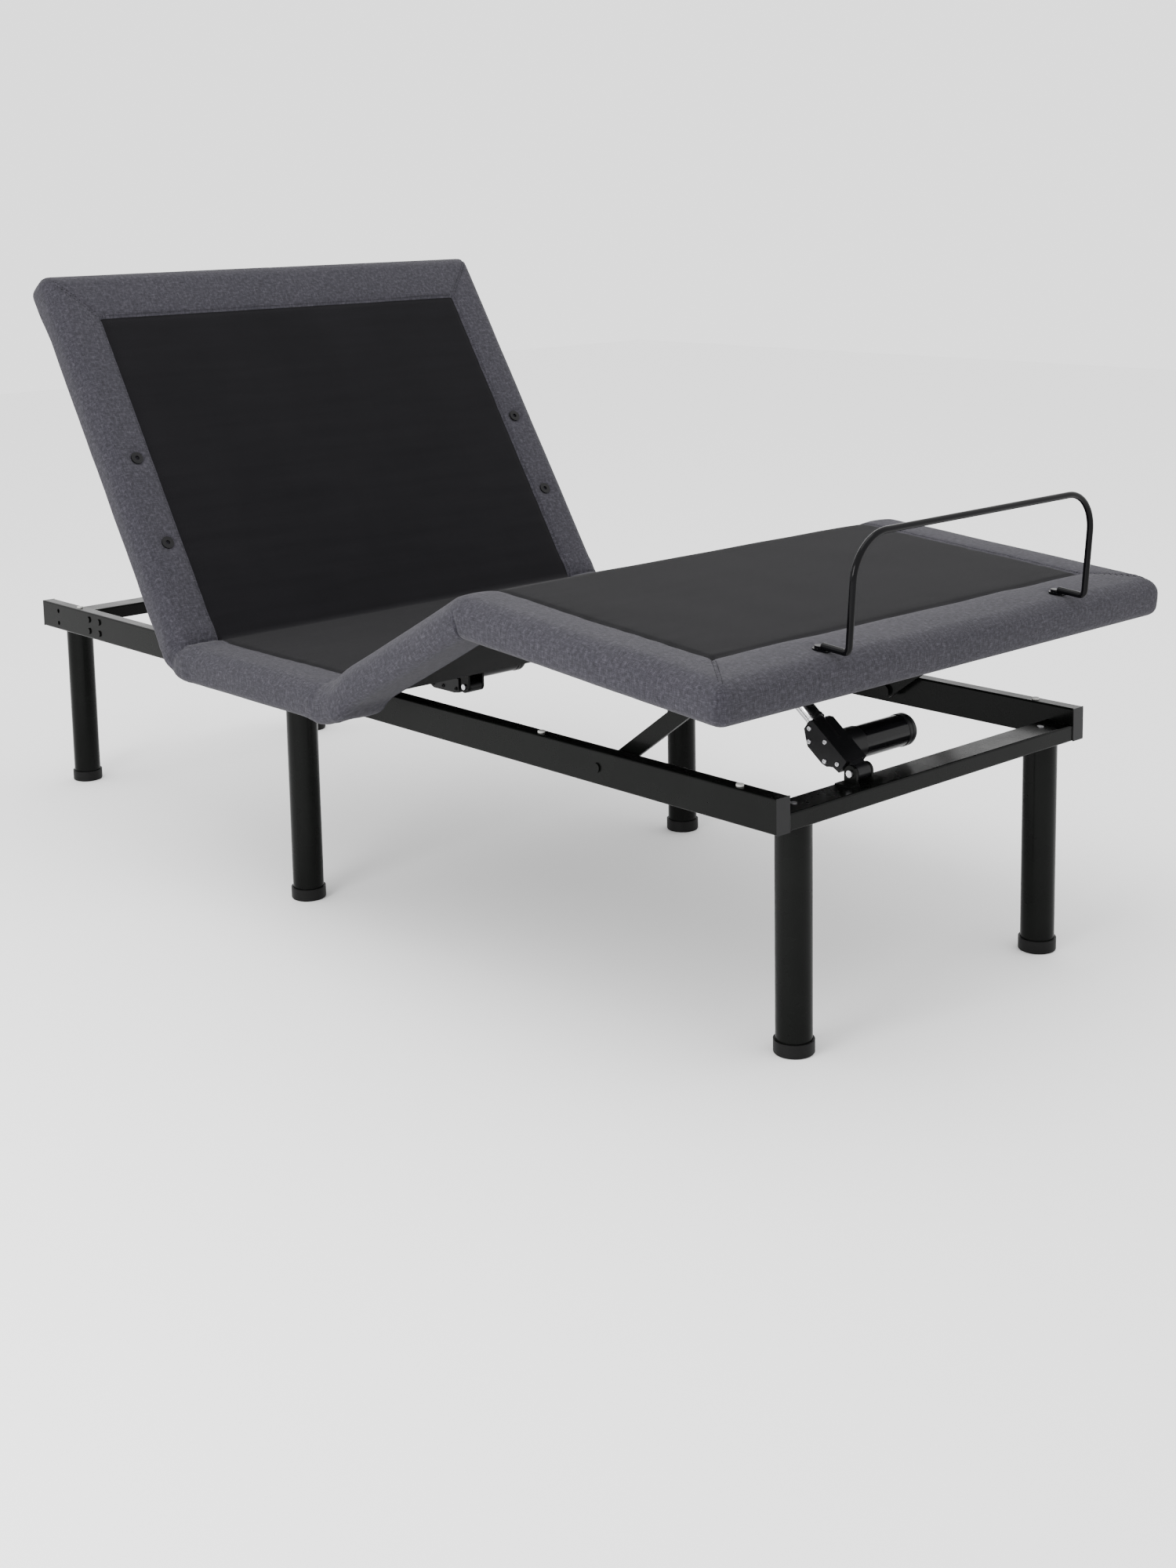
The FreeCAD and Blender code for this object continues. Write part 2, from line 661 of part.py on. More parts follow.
nodes["actuator_base_brackets"] = group(foot_bracket + head_bracket)
nodes["actuator_base_pins"] = group([rod_x(foot_act_x - 21, foot_act_x + 21, foot_pin[0], foot_pin[1], act_pin_r),
                                     rod_x(-21, 21, head_pin_y, crank_pin_z, act_pin_r)])

# Calf bracket for the foot actuator: slanted slots take up the mid-travel difference
mid_thigh = thigh_angle / 2
mid_eye = (foot_pin[0] + (foot_len + foot_len_flat) / 2 * math.cos(math.radians((foot_tilt + foot_tilt_flat) / 2)),
           foot_pin[1] + (foot_len + foot_len_flat) / 2 * math.sin(math.radians((foot_tilt + foot_tilt_flat) / 2)))
unfold = turned(mid_eye[0], mid_eye[1], seat_front_axis, axis_z, mid_thigh)
slot_far = turned(unfold[0], unfold[1], knee_flat_y, axis_z, -knee_angle / 2)
slot_half = act_pin_r + slot_clear
ears = []
ear_in = act_eye_r - 2 + act_ear_space
for side in (-1, 1):
    x0 = foot_act_x + side * ear_in if side > 0 else foot_act_x - ear_in - 5
    far_y = slot_far[0] + 14
    near_y = foot_eye_flat[0] - 14
    outline = [(near_y, board_bottom), (near_y, foot_eye_flat[1] - 6), (slot_far[0] - 8, slot_far[1] - 14),
               (far_y, slot_far[1] - 14), (far_y, board_bottom)]
    plate = prism(outline, x0, x0 + 5)
    fx = x0 - 15 if side < 0 else x0 + 5
    flange = box(fx, fx + 15, near_y, far_y, board_bottom - 3, board_bottom)
    plate = fuse([plate, flange])
    ears.append(plate.cut(slot_x(x0 - 1, x0 + 6, foot_eye_flat, slot_far, slot_half)))
nodes["calf_actuator_bracket"] = on_calf(group(ears))

# Head lift frame: torque tube, arms with rollers, crank
tube_half = rail_inner_half - 9.0
torque = rod_x(-tube_half, tube_half, lift_y, lift_z, lift_tube_r)
for x0 in (-tube_half - 1, tube_half - 32):
    torque = torque.cut(rod_x(x0, x0 + 33, lift_y, lift_z, lift_tube_bore + pivot_clear))
nodes["head_torque_tube"] = torque
brackets = []
plate = box(rail_inner_half - 6, rail_inner_half, lift_y - 26, lift_y + 26, rail_bottom + 2, rail_top - 1)
stub = rod_x(tube_half - 28, rail_inner_half - 5, lift_y, lift_z, lift_tube_bore)
bracket = fuse([plate, stub])
nodes["lift_pivot_brackets"] = group([bracket, mirrored(bracket)])
ax0 = lift_arm_x - lift_arm_t / 2
ax1 = lift_arm_x + lift_arm_t / 2
arm = box(ax0, ax1, lift_y, lift_y + lift_arm, lift_z - lift_arm_h / 2, lift_z + lift_arm_h / 2)
arm = fuse([arm, rod_x(ax0, ax1, lift_y, lift_z, lift_tube_r + 8), rod_x(ax0, ax1, lift_y + lift_arm, lift_z,
                                                                      lift_arm_h / 2)])
arm = arm.cut(rod_x(ax0 - 1, ax1 + 1, lift_y, lift_z, lift_tube_r))
axle = rod_x(ax1 - 1, ax1 + roller_w + 6, lift_y + lift_arm, lift_z, roller_bore)
washer = rod_x(ax1 + roller_w + 2, ax1 + roller_w + 6, lift_y + lift_arm, lift_z, roller_bore + 4)
arm = turn(fuse([arm, axle, washer]), lift_y, lift_z, back_angle)
nodes["head_lift_arms"] = group([arm, mirrored(arm)])
roller = rod_x(ax1 + 1, ax1 + 1 + roller_w, lift_y + lift_arm, lift_z, roller_r)
roller = roller.cut(rod_x(ax1, ax1 + 2 + roller_w, lift_y + lift_arm, lift_z, roller_bore + pivot_clear))
roller = turn(roller, lift_y, lift_z, back_angle)
nodes["right_lift_roller"] = roller
nodes["left_lift_roller"] = mirrored(roller)

crank_slot_top = crank_r * math.cos(math.radians(back_angle / 2))
cheeks = []
for x0 in (-crank_cheek - crank_t, crank_cheek):
    cheek = fuse([box(x0, x0 + crank_t, lift_y - 13, lift_y + 13, lift_z - crank_r, lift_z),
                  rod_x(x0, x0 + crank_t, lift_y, lift_z, lift_tube_r + 8),
                  rod_x(x0, x0 + crank_t, lift_y, lift_z - crank_r, 13.0)])
    cheek = cheek.cut(rod_x(x0 - 1, x0 + crank_t + 1, lift_y, lift_z, lift_tube_r))
    cheek = cheek.cut(slot_x(x0 - 1, x0 + crank_t + 1, (lift_y, lift_z - crank_slot_top), (lift_y, lift_z - crank_r),
                             act_pin_r + crank_slot_clear))
    cheeks.append(turn(cheek, lift_y, lift_z, back_angle / 2))
nodes["head_lift_crank"] = group(cheeks)

track_y0 = lift_y + lift_arm - 110
track_x0 = ax1 + 1 + roller_w / 2 - track_w / 2
track = box(track_x0, track_x0 + track_w, track_y0, track_y0 + 170, board_bottom - track_t, board_bottom)
nodes["back_lift_tracks"] = on_back(group([track, mirrored(track)]))

# Control box under the seat board, with its mains inlet
ctrl = rounded_bar(-230, -60, control_y, control_y + 85, board_bottom - 42, board_bottom, 6.0, 1)
inlet_hole = box(-215, -183, control_y - 1, control_y + 10, board_bottom - 32, board_bottom - 12)
nodes["control_box"] = ctrl.cut(inlet_hole)
inlet = box(-214.7, -183.3, control_y + 3, control_y + 9.7, board_bottom - 31.7, board_bottom - 12.3)
inlet = fuse([inlet.cut(box(-210, -188, control_y + 2, control_y + 8, board_bottom - 28, board_bottom - 16))]
             + [rod_y(control_y + 0.5, control_y + 8.5, -199 + dx, board_bottom - 22, 1.5) for dx in (-5, 5)])
nodes["mains_inlet"] = inlet

# Mattress retainer: a bent rod on two screwed tabs at the foot end
bar_y = foot_end_y - bar_out
bar_z = deck_top + bar_r + 2.5
top_z = deck_top + bar_height
tab_y = bar_y + bar_foot
toe = 8.0
k = math.sqrt(0.5)


def arc(a, b, c):
    return Part.Arc(a, b, c).toShape()


def half_bar(s):
    x = s * bar_half_w
    c = s * bar_corner
    return [
        Part.makeLine(V(x, tab_y, bar_z), V(x, bar_y + toe, bar_z)),
        arc(V(x, bar_y + toe, bar_z), V(x, bar_y + toe - toe * k, bar_z + toe - toe * k), V(x, bar_y, bar_z + toe)),
        Part.makeLine(V(x, bar_y, bar_z + toe), V(x, bar_y, top_z - bar_corner)),
        arc(V(x, bar_y, top_z - bar_corner), V(x - c + c * k, bar_y, top_z - bar_corner + bar_corner * k),
            V(x - c, bar_y, top_z)),
    ]


left_run = half_bar(-1)
right_run = half_bar(1)
top_run = Part.makeLine(V(-bar_half_w + bar_corner, bar_y, top_z), V(bar_half_w - bar_corner, bar_y, top_z))
path = Part.Wire(left_run + [top_run] + right_run[::-1])
profile = Part.Wire([Part.makeCircle(bar_r, V(-bar_half_w, tab_y, bar_z), V(0, 1, 0))])
bar = path.makePipeShell([profile], True, True)
tabs = []
screws = []
for x in (-bar_half_w, bar_half_w):
    eye = rod_z(deck_top + 0.4, deck_top + 3.4, x, tab_y + 6, tab_r)
    eye = fuse([eye, box(x - 5, x + 5, tab_y - 10, tab_y + 6, deck_top + 0.4, deck_top + 3.4)])
    tabs.append(eye.cut(rod_z(deck_top - 1, deck_top + 5, x, tab_y + 6, 3.2)))
    shank = rod_z(board_top - 12, deck_top + 3.4, x, tab_y + 6, 3.0)
    head = rod_z(deck_top + 3.4, deck_top + 7, x, tab_y + 6, 6.5)
    screws.append(fuse([shank, head]))
nodes["mattress_retainer_bar"] = on_calf(cut(fuse([bar] + tabs), [rod_z(deck_top + 3.4, deck_top + 30, x, tab_y + 6,
                                                                        6.8) for x in (-bar_half_w, bar_half_w)]))
nodes["retainer_screws"] = on_calf(group(screws))

# Screws pass through the foam and bite the board
screw_holes = [rod_z(board_top - 12, deck_top + 5, x, tab_y + 6, 3.3) for x in (-bar_half_w, bar_half_w)]
nodes["calf_foam"] = cut(nodes["calf_foam"], [on_calf(h) for h in screw_holes])
nodes["calf_board"] = cut(nodes["calf_board"], [on_calf(h) for h in screw_holes])

# Shift so that the origin is at the middle of the footprint, on the floor
overall = None
for shape in nodes.values():
    b = shape.optimalBoundingBox(False, False)
    if overall is None:
        overall = b
    else:
        overall.add(b)
origin_y = (overall.YMin + overall.YMax) / 2

for name, shape in nodes.items():
    shape.translate(V(0, -origin_y, 0))
    shape.exportStep("parts/" + name + ".step")
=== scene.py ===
import bpy
import json
import math
import numpy as np
from mathutils import Matrix, Vector, noise
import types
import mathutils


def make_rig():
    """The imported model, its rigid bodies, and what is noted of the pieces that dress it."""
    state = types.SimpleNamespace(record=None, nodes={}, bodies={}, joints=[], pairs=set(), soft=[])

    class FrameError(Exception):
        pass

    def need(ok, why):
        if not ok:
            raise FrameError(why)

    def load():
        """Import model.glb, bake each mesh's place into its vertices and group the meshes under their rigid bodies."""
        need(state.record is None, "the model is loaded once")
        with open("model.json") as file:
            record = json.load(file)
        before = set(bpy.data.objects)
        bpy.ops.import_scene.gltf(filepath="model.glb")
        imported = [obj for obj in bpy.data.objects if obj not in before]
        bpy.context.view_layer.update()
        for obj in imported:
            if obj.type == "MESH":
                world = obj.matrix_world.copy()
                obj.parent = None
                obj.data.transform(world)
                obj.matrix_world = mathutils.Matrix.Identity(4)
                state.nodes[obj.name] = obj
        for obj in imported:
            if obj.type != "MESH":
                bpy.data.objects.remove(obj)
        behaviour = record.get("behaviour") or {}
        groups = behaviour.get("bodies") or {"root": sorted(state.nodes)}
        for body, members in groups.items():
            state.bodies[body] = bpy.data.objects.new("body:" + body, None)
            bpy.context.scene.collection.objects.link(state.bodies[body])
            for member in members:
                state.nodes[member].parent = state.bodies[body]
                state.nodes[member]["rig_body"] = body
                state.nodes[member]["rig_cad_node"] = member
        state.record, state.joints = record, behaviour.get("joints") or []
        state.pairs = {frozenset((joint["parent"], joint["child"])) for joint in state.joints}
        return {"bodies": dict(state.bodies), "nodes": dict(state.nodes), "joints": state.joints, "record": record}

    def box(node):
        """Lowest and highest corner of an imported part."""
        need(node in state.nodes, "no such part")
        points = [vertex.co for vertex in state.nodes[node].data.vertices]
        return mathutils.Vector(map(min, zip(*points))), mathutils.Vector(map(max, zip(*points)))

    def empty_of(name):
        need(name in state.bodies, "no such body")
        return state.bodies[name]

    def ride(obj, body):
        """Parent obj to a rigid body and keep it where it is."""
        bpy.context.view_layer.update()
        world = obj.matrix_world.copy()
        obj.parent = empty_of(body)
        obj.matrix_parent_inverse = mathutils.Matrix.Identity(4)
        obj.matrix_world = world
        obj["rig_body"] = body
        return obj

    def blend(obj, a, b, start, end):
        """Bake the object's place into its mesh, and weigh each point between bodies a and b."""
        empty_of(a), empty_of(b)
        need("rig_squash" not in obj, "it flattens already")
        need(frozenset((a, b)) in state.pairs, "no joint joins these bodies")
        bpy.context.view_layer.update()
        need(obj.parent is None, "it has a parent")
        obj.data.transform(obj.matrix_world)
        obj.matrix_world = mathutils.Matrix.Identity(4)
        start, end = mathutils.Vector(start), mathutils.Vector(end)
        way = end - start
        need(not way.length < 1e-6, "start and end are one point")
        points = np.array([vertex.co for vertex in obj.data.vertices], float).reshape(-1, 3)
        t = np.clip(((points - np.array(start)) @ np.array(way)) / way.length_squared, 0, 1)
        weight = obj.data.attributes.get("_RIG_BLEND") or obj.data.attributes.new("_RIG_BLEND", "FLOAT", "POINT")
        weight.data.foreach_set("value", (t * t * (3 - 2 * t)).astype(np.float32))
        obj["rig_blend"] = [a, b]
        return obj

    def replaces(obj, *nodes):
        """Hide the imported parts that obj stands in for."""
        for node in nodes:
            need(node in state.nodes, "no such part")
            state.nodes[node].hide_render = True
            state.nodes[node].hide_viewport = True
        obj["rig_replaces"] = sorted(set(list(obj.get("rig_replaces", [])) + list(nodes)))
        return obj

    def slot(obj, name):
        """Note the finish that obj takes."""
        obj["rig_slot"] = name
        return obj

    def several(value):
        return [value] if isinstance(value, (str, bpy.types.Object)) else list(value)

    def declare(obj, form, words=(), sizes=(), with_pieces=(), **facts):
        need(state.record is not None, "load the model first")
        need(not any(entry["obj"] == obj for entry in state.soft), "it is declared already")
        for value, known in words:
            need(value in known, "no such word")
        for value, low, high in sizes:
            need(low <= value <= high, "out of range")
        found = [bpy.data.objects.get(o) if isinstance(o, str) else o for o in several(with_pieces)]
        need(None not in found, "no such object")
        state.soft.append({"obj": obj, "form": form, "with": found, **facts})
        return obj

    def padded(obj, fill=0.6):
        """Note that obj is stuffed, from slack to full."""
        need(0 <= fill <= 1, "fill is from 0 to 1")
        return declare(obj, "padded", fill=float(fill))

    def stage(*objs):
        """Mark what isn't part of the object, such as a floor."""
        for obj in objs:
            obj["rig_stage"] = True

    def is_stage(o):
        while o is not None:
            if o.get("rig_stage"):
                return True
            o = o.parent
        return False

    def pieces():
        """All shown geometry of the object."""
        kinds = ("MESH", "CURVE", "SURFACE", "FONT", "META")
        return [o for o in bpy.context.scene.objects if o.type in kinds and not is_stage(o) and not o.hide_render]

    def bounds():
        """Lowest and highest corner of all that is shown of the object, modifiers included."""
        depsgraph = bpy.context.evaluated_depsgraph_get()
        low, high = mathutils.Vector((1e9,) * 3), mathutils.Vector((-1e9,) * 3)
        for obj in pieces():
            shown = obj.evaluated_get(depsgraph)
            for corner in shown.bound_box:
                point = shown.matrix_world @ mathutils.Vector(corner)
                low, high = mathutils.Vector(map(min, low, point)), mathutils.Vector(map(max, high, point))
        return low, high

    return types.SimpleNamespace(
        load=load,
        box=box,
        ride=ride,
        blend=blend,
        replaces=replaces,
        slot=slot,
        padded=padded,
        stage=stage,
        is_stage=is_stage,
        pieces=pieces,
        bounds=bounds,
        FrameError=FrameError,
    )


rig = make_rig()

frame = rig.load()
cad_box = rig.bounds()
MM = 0.001
joints = {j["name"]: j for j in frame["joints"]}
scene = bpy.context.scene


# ---------------------------------------------------------------- camera
def place_camera():
    """The photograph's camera: where it stands (m), which way it looks (radians) and its lens."""
    eye = Vector((-2.2692, -2.7070, 1.1511))
    yaw, pitch, roll = 0.7297, -0.1575, -0.0195
    forward = Vector((math.sin(yaw) * math.cos(pitch), math.cos(yaw) * math.cos(pitch), math.sin(pitch)))
    level = Vector((math.cos(yaw), -math.sin(yaw), 0))
    upright = level.cross(forward)
    right = level * math.cos(roll) + upright * math.sin(roll)
    up = upright * math.cos(roll) - level * math.sin(roll)
    data = bpy.data.cameras.new("camera")
    data.sensor_width = 36.0
    data.lens = 47.91
    data.shift_x = 0.0136
    data.shift_y = -0.1667
    data.clip_end = 60
    camera = bpy.data.objects.new("camera", data)
    scene.collection.objects.link(camera)
    matrix = Matrix((right, up, -forward)).transposed().to_4x4()
    matrix.translation = eye
    camera.matrix_world = matrix
    scene.camera = camera


# ---------------------------------------------------------------- materials
class Nodes:
    """Short way to build a node tree."""

    def __init__(self, name):
        self.mat = bpy.data.materials.new(name)
        self.mat.use_nodes = True
        self.tree = self.mat.node_tree
        self.bsdf = self.tree.nodes["Principled BSDF"]

    def add(self, kind, **settings):
        node = self.tree.nodes.new(kind)
        for key, value in settings.items():
            setattr(node, key, value)
        return node

    def link(self, a, b):
        self.tree.links.new(a, b)

    def coords(self, scale=(1, 1, 1), uv=False):
        place = self.add("ShaderNodeTexCoord")
        mapping = self.add("ShaderNodeMapping")
        mapping.inputs["Scale"].default_value = scale
        self.link(place.outputs["UV" if uv else "Object"], mapping.inputs["Vector"])
        return mapping.outputs["Vector"]

    def noise(self, vec, scale=1.0, detail=3.0, rough=0.5):
        node = self.add("ShaderNodeTexNoise")
        node.inputs["Scale"].default_value = scale
        node.inputs["Detail"].default_value = detail
        node.inputs["Roughness"].default_value = rough
        self.link(vec, node.inputs["Vector"])
        return node.outputs["Fac"]

    def ramp(self, fac, stops):
        """Colour ramp through (position, colour) stops; a colour of one value is a grey."""
        node = self.add("ShaderNodeValToRGB")
        elements = node.color_ramp.elements
        while len(elements) < len(stops):
            elements.new(0.5)
        for element, (position, colour) in zip(elements, stops):
            element.position = position
            element.color = (*colour, 1) if len(colour) == 3 else (*colour * 3, 1)
        self.link(fac, node.inputs["Fac"])
        return node.outputs["Color"]

    def vary(self, fac, base, low, high, start=0.3, stop=0.7):
        """From low times the base to high times it, as the noise goes from start to stop."""
        return self.ramp(fac, [(start, tuple(c * low for c in base)), (stop, tuple(c * high for c in base))])

    def multiply_colours(self, a, b):
        node = self.add("ShaderNodeMix", data_type="RGBA", blend_type="MULTIPLY")
        node.inputs[0].default_value = 1.0
        self.link(a, node.inputs[6])
        self.link(b, node.inputs[7])
        return node.outputs[2]

    def calc(self, operation, *values):
        node = self.add("ShaderNodeMath", operation=operation)
        for socket, value in zip(node.inputs, values):
            if isinstance(value, float):
                socket.default_value = value
            else:
                self.link(value, socket)
        return node.outputs[0]

    def bump(self, height, strength, distance, after=None):
        node = self.add("ShaderNodeBump")
        node.inputs["Strength"].default_value = strength
        node.inputs["Distance"].default_value = distance
        self.link(height, node.inputs["Height"])
        if after is not None:
            self.link(after, node.inputs["Normal"])
        return node.outputs["Normal"]

    def put(self, name, value):
        socket = self.bsdf.inputs[name]
        if isinstance(value, float):
            socket.default_value = value
        elif isinstance(value, tuple):
            socket.default_value = (*value, 1)
        else:
            self.link(value, socket)


def linen(name):
    """Heather grey woven cover: pale and dark slubs along both thread directions."""
    m = Nodes(name)
    along_warp = m.noise(m.coords((900, 60, 1), uv=True), detail=4.0, rough=0.65)
    along_weft = m.noise(m.coords((60, 900, 1), uv=True), detail=4.0, rough=0.65)
    cloud = m.noise(m.coords((9, 9, 1), uv=True))
    mottle = m.noise(m.coords((170, 170, 1), uv=True), rough=0.6)
    slubs = m.calc("MULTIPLY", m.calc("ADD", along_warp, along_weft), 0.5)
    blend = m.calc("ADD", m.calc("MULTIPLY", slubs, 0.65), m.calc("MULTIPLY", mottle, 0.35))
    dark, middle, pale = (0.0085, 0.008, 0.0105), (0.024, 0.0228, 0.029), (0.060, 0.057, 0.069)
    colour = m.ramp(blend, [(0.34, dark), (0.5, middle), (0.66, pale)])
    tint = m.ramp(cloud, [(0.3, (0.90, 0.90, 0.92)), (0.7, (1.0, 0.99, 1.0))])
    m.put("Base Color", m.multiply_colours(colour, tint))
    waves = []
    for way in ("X", "Y"):
        wave_node = m.add("ShaderNodeTexWave", wave_type="BANDS", bands_direction=way)
        wave_node.inputs["Scale"].default_value = 130.0
        wave_node.inputs["Distortion"].default_value = 1.2
        wave_node.inputs["Detail"].default_value = 1.0
        m.link(m.coords(uv=True), wave_node.inputs["Vector"])
        waves.append(wave_node.outputs["Fac"])
    fine = m.bump(m.calc("MULTIPLY", *waves), strength=0.35, distance=0.0006)
    m.put("Normal", m.bump(slubs, strength=0.55, distance=0.0012, after=fine))
    m.put("Roughness", 0.92)
    m.put("Sheen Weight", 0.05)
    m.put("Sheen Roughness", 0.5)
    m.put("Specular IOR Level", 0.2)
    return m.mat


def felt(name):
    """Black non-slip panel fabric: dull, slightly fuzzy, with fine pile."""
    m = Nodes(name)
    pile = m.noise(m.coords((700, 700, 1), uv=True), detail=4.0, rough=0.7)
    cloud = m.noise(m.coords((7, 3, 1), uv=True), detail=4.0, rough=0.6)
    streak = m.noise(m.coords((4, 50, 1), uv=True), rough=0.55)
    base = m.ramp(pile, [(0.3, (0.0026, 0.0025, 0.0029)), (0.7, (0.0072, 0.0068, 0.0082))])
    shade = m.ramp(m.calc("MULTIPLY", m.calc("ADD", cloud, streak), 0.5),
                   [(0.35, (0.80, 0.80, 0.82)), (0.65, (1.12, 1.12, 1.12))])
    m.put("Base Color", m.multiply_colours(base, shade))
    m.put("Normal", m.bump(pile, strength=0.4, distance=0.0006))
    m.put("Roughness", 0.95)
    m.put("Sheen Weight", 0.03)
    m.put("Sheen Roughness", 0.45)
    m.put("Specular IOR Level", 0.08)
    return m.mat


def paint(name, base, rough, coat):
    """Powder-coated or sprayed steel with slight orange peel and handling wear."""
    m = Nodes(name)
    peel = m.noise(m.coords(), scale=420.0, detail=2.0)
    smudge = m.noise(m.coords(), scale=14.0, detail=4.0, rough=0.6)
    m.put("Base Color", m.vary(smudge, base, low=0.8, high=1.25))
    m.put("Roughness", m.vary(smudge, (rough,), low=0.8, high=1.25))
    m.put("Normal", m.bump(peel, strength=0.12, distance=0.0004))
    m.put("Coat Weight", coat)
    m.put("Coat Roughness", 0.12)
    m.put("Specular IOR Level", 0.05)
    return m.mat


def metal(name, base, rough, stretch):
    """Bare or plated steel with fine turning or rolling marks."""
    m = Nodes(name)
    grain = m.noise(m.coords(stretch), scale=60.0, detail=4.0, rough=0.6)
    spots = m.noise(m.coords(), scale=90.0)
    m.put("Base Color", m.vary(spots, base, low=0.82, high=1.0))
    m.put("Metallic", 1.0)
    m.put("Roughness", m.vary(grain, (rough,), low=0.7, high=1.4))
    m.put("Normal", m.bump(grain, strength=0.15, distance=0.0003))
    return m.mat


def moulded(name, base, rough, shine):
    """Moulded plastic or rubber with a spark-eroded grain."""
    m = Nodes(name)
    grain = m.add("ShaderNodeTexVoronoi")
    grain.inputs["Scale"].default_value = 900.0
    m.link(m.coords(), grain.inputs["Vector"])
    dust = m.noise(m.coords(), scale=22.0, detail=4.0, rough=0.6)
    m.put("Base Color", m.vary(dust, base, low=0.85, high=1.3, start=0.35))
    m.put("Roughness", m.vary(dust, (rough,), low=0.9, high=1.15))
    m.put("Normal", m.bump(grain.outputs["Distance"], strength=0.15, distance=0.0003))
    m.put("Specular IOR Level", shine)
    return m.mat


def lined_board(name):
    """Board under a stapled black dust cover cloth."""
    m = Nodes(name)
    fibres = m.noise(m.coords(), scale=520.0, detail=4.0, rough=0.7)
    folds = m.noise(m.coords(), scale=6.0)
    m.put("Base Color", m.ramp(fibres, [(0.3, (0.002, 0.002, 0.002)), (0.7, (0.006, 0.006, 0.0065))]))
    m.put("Roughness", 0.9)
    m.put("Specular IOR Level", 0.1)
    cloth = m.bump(fibres, strength=0.3, distance=0.0004)
    m.put("Normal", m.bump(folds, strength=0.3, distance=0.004, after=cloth))
    return m.mat


def thread(name):
    """Twisted sewing thread, a little darker than the cover."""
    m = Nodes(name)
    ply = m.noise(m.coords(), scale=2600.0, detail=2.0)
    m.put("Base Color", m.ramp(ply, [(0.3, (0.010, 0.010, 0.012)), (0.7, (0.022, 0.021, 0.026))]))
    m.put("Roughness", 0.7)
    m.put("Specular IOR Level", 0.2)
    m.put("Normal", m.bump(ply, strength=0.4, distance=0.0002))
    return m.mat


MATS = {
    "black_steel": paint("black_steel", (0.0025, 0.0028, 0.0025), rough=0.26, coat=0.05),
    "retainer_black": paint("retainer_black", (0.0020, 0.0020, 0.0024), rough=0.12, coat=0.08),
    "motor_black": paint("motor_black", (0.0025, 0.0025, 0.003), rough=0.2, coat=0.25),
    "zinc_steel": metal("zinc_steel", (0.62, 0.62, 0.64), rough=0.32, stretch=(1, 1, 1)),
    "bright_steel": metal("bright_steel", (0.74, 0.74, 0.75), rough=0.16, stretch=(1, 8, 8)),
    "black_plastic": moulded("black_plastic", (0.004, 0.004, 0.0045), rough=0.34, shine=0.15),
    "black_rubber": moulded("black_rubber", (0.004, 0.004, 0.004), rough=0.5, shine=0.12),
    "pale_rubber": moulded("pale_rubber", (0.50, 0.50, 0.48), rough=0.6, shine=0.4),
    "board": lined_board("board"),
    "grey_linen": linen("grey_linen"),
    "black_felt": felt("black_felt"),
    "thread": thread("thread"),
}
for sub in frame["record"]["subparts"]:
    cad_node = frame["nodes"][sub["node"]]
    cad_node.data.materials.clear()
    cad_node.data.materials.append(MATS[sub["material_slot"]])


# ---------------------------------------------------------------- the deck's top line
# Sizes are in mm, angles in degrees. s runs along the top of the deck from its foot end to its head end.
def yz(joint):
    place = joints[joint]["pos_m"]
    return np.array([place[1], place[2]]) / MM


def direction(degrees):
    a = math.radians(degrees)
    return np.array([math.cos(a), math.sin(a)])


def normal(degrees):
    a = math.radians(degrees)
    return np.array([-math.sin(a), math.cos(a)])


def meet(p, a, q, b):
    """Where the line through p at angle a meets the line through q at angle b."""
    m = np.array([direction(a), -direction(b)]).T
    t = np.linalg.solve(m, q - p)[0]
    return p + direction(a) * t


seat_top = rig.box("seat_foam")[1]
half_w = seat_top.x / MM
knee, valley, back = yz("knee_fold"), yz("thigh_fold"), yz("back_fold")
axis_depth = seat_top.z / MM - valley[1]
back_angle = -joints["back_fold"]["range_deg"][0]
thigh_angle = -joints["thigh_fold"]["range_deg"][0]
calf_slope = 4.5
calf_length = 521.0
back_length = 736.0
fillets = [62.0, 24.0, 16.0]

angles = [calf_slope, -thigh_angle, 0.0, back_angle]
on_line = [p + normal(a) * axis_depth for p, a in zip((knee, valley, valley, back), angles)]
corners = [meet(on_line[i], angles[i], on_line[i + 1], angles[i + 1]) for i in range(3)]


def lay_line():
    """The runs of the line as (start, angle, length, turn), the span of each arc, and the whole length."""
    runs, arcs, total = [], [], 0.0
    here = on_line[0] - direction(calf_slope) * calf_length
    for corner, fillet, angle, next_angle in zip(corners, fillets, angles, angles[1:]):
        turn = next_angle - angle
        tangent = fillet * math.tan(math.radians(abs(turn)) / 2)
        stop = corner - direction(angle) * tangent
        straight = float(np.linalg.norm(stop - here))
        bent = fillet * math.radians(abs(turn))
        runs += [(here, angle, straight, 0.0), (stop, angle, bent, turn)]
        arcs.append((total + straight, total + straight + bent))
        total += straight + bent
        here = corner + direction(next_angle) * tangent
    end = on_line[3] + direction(back_angle) * back_length
    straight = float(np.linalg.norm(end - here))
    runs.append((here, back_angle, straight, 0.0))
    return runs, arcs, total + straight


line_runs, arc_spans, deck_len = lay_line()


def along(s):
    """Point and angle on the top line at distance s from the foot end."""
    for run in line_runs[:-1]:
        if s <= run[2]:
            break
        s -= run[2]
    else:
        run = line_runs[-1]
    p, a, length, turn = run
    if not turn:
        return p + direction(a) * s, a
    b = a + turn * s / length
    radius = length / math.radians(turn)
    return p + (normal(a) - normal(b)) * radius, b


def to_world(x, s, n):
    """World place of a point n below the top line; past either end the line goes on straight."""
    on = min(deck_len, max(0.0, s))
    p, a = along(on)
    q = p - normal(a) * n + direction(a) * (s - on)
    return (x * MM, q[0] * MM, q[1] * MM)


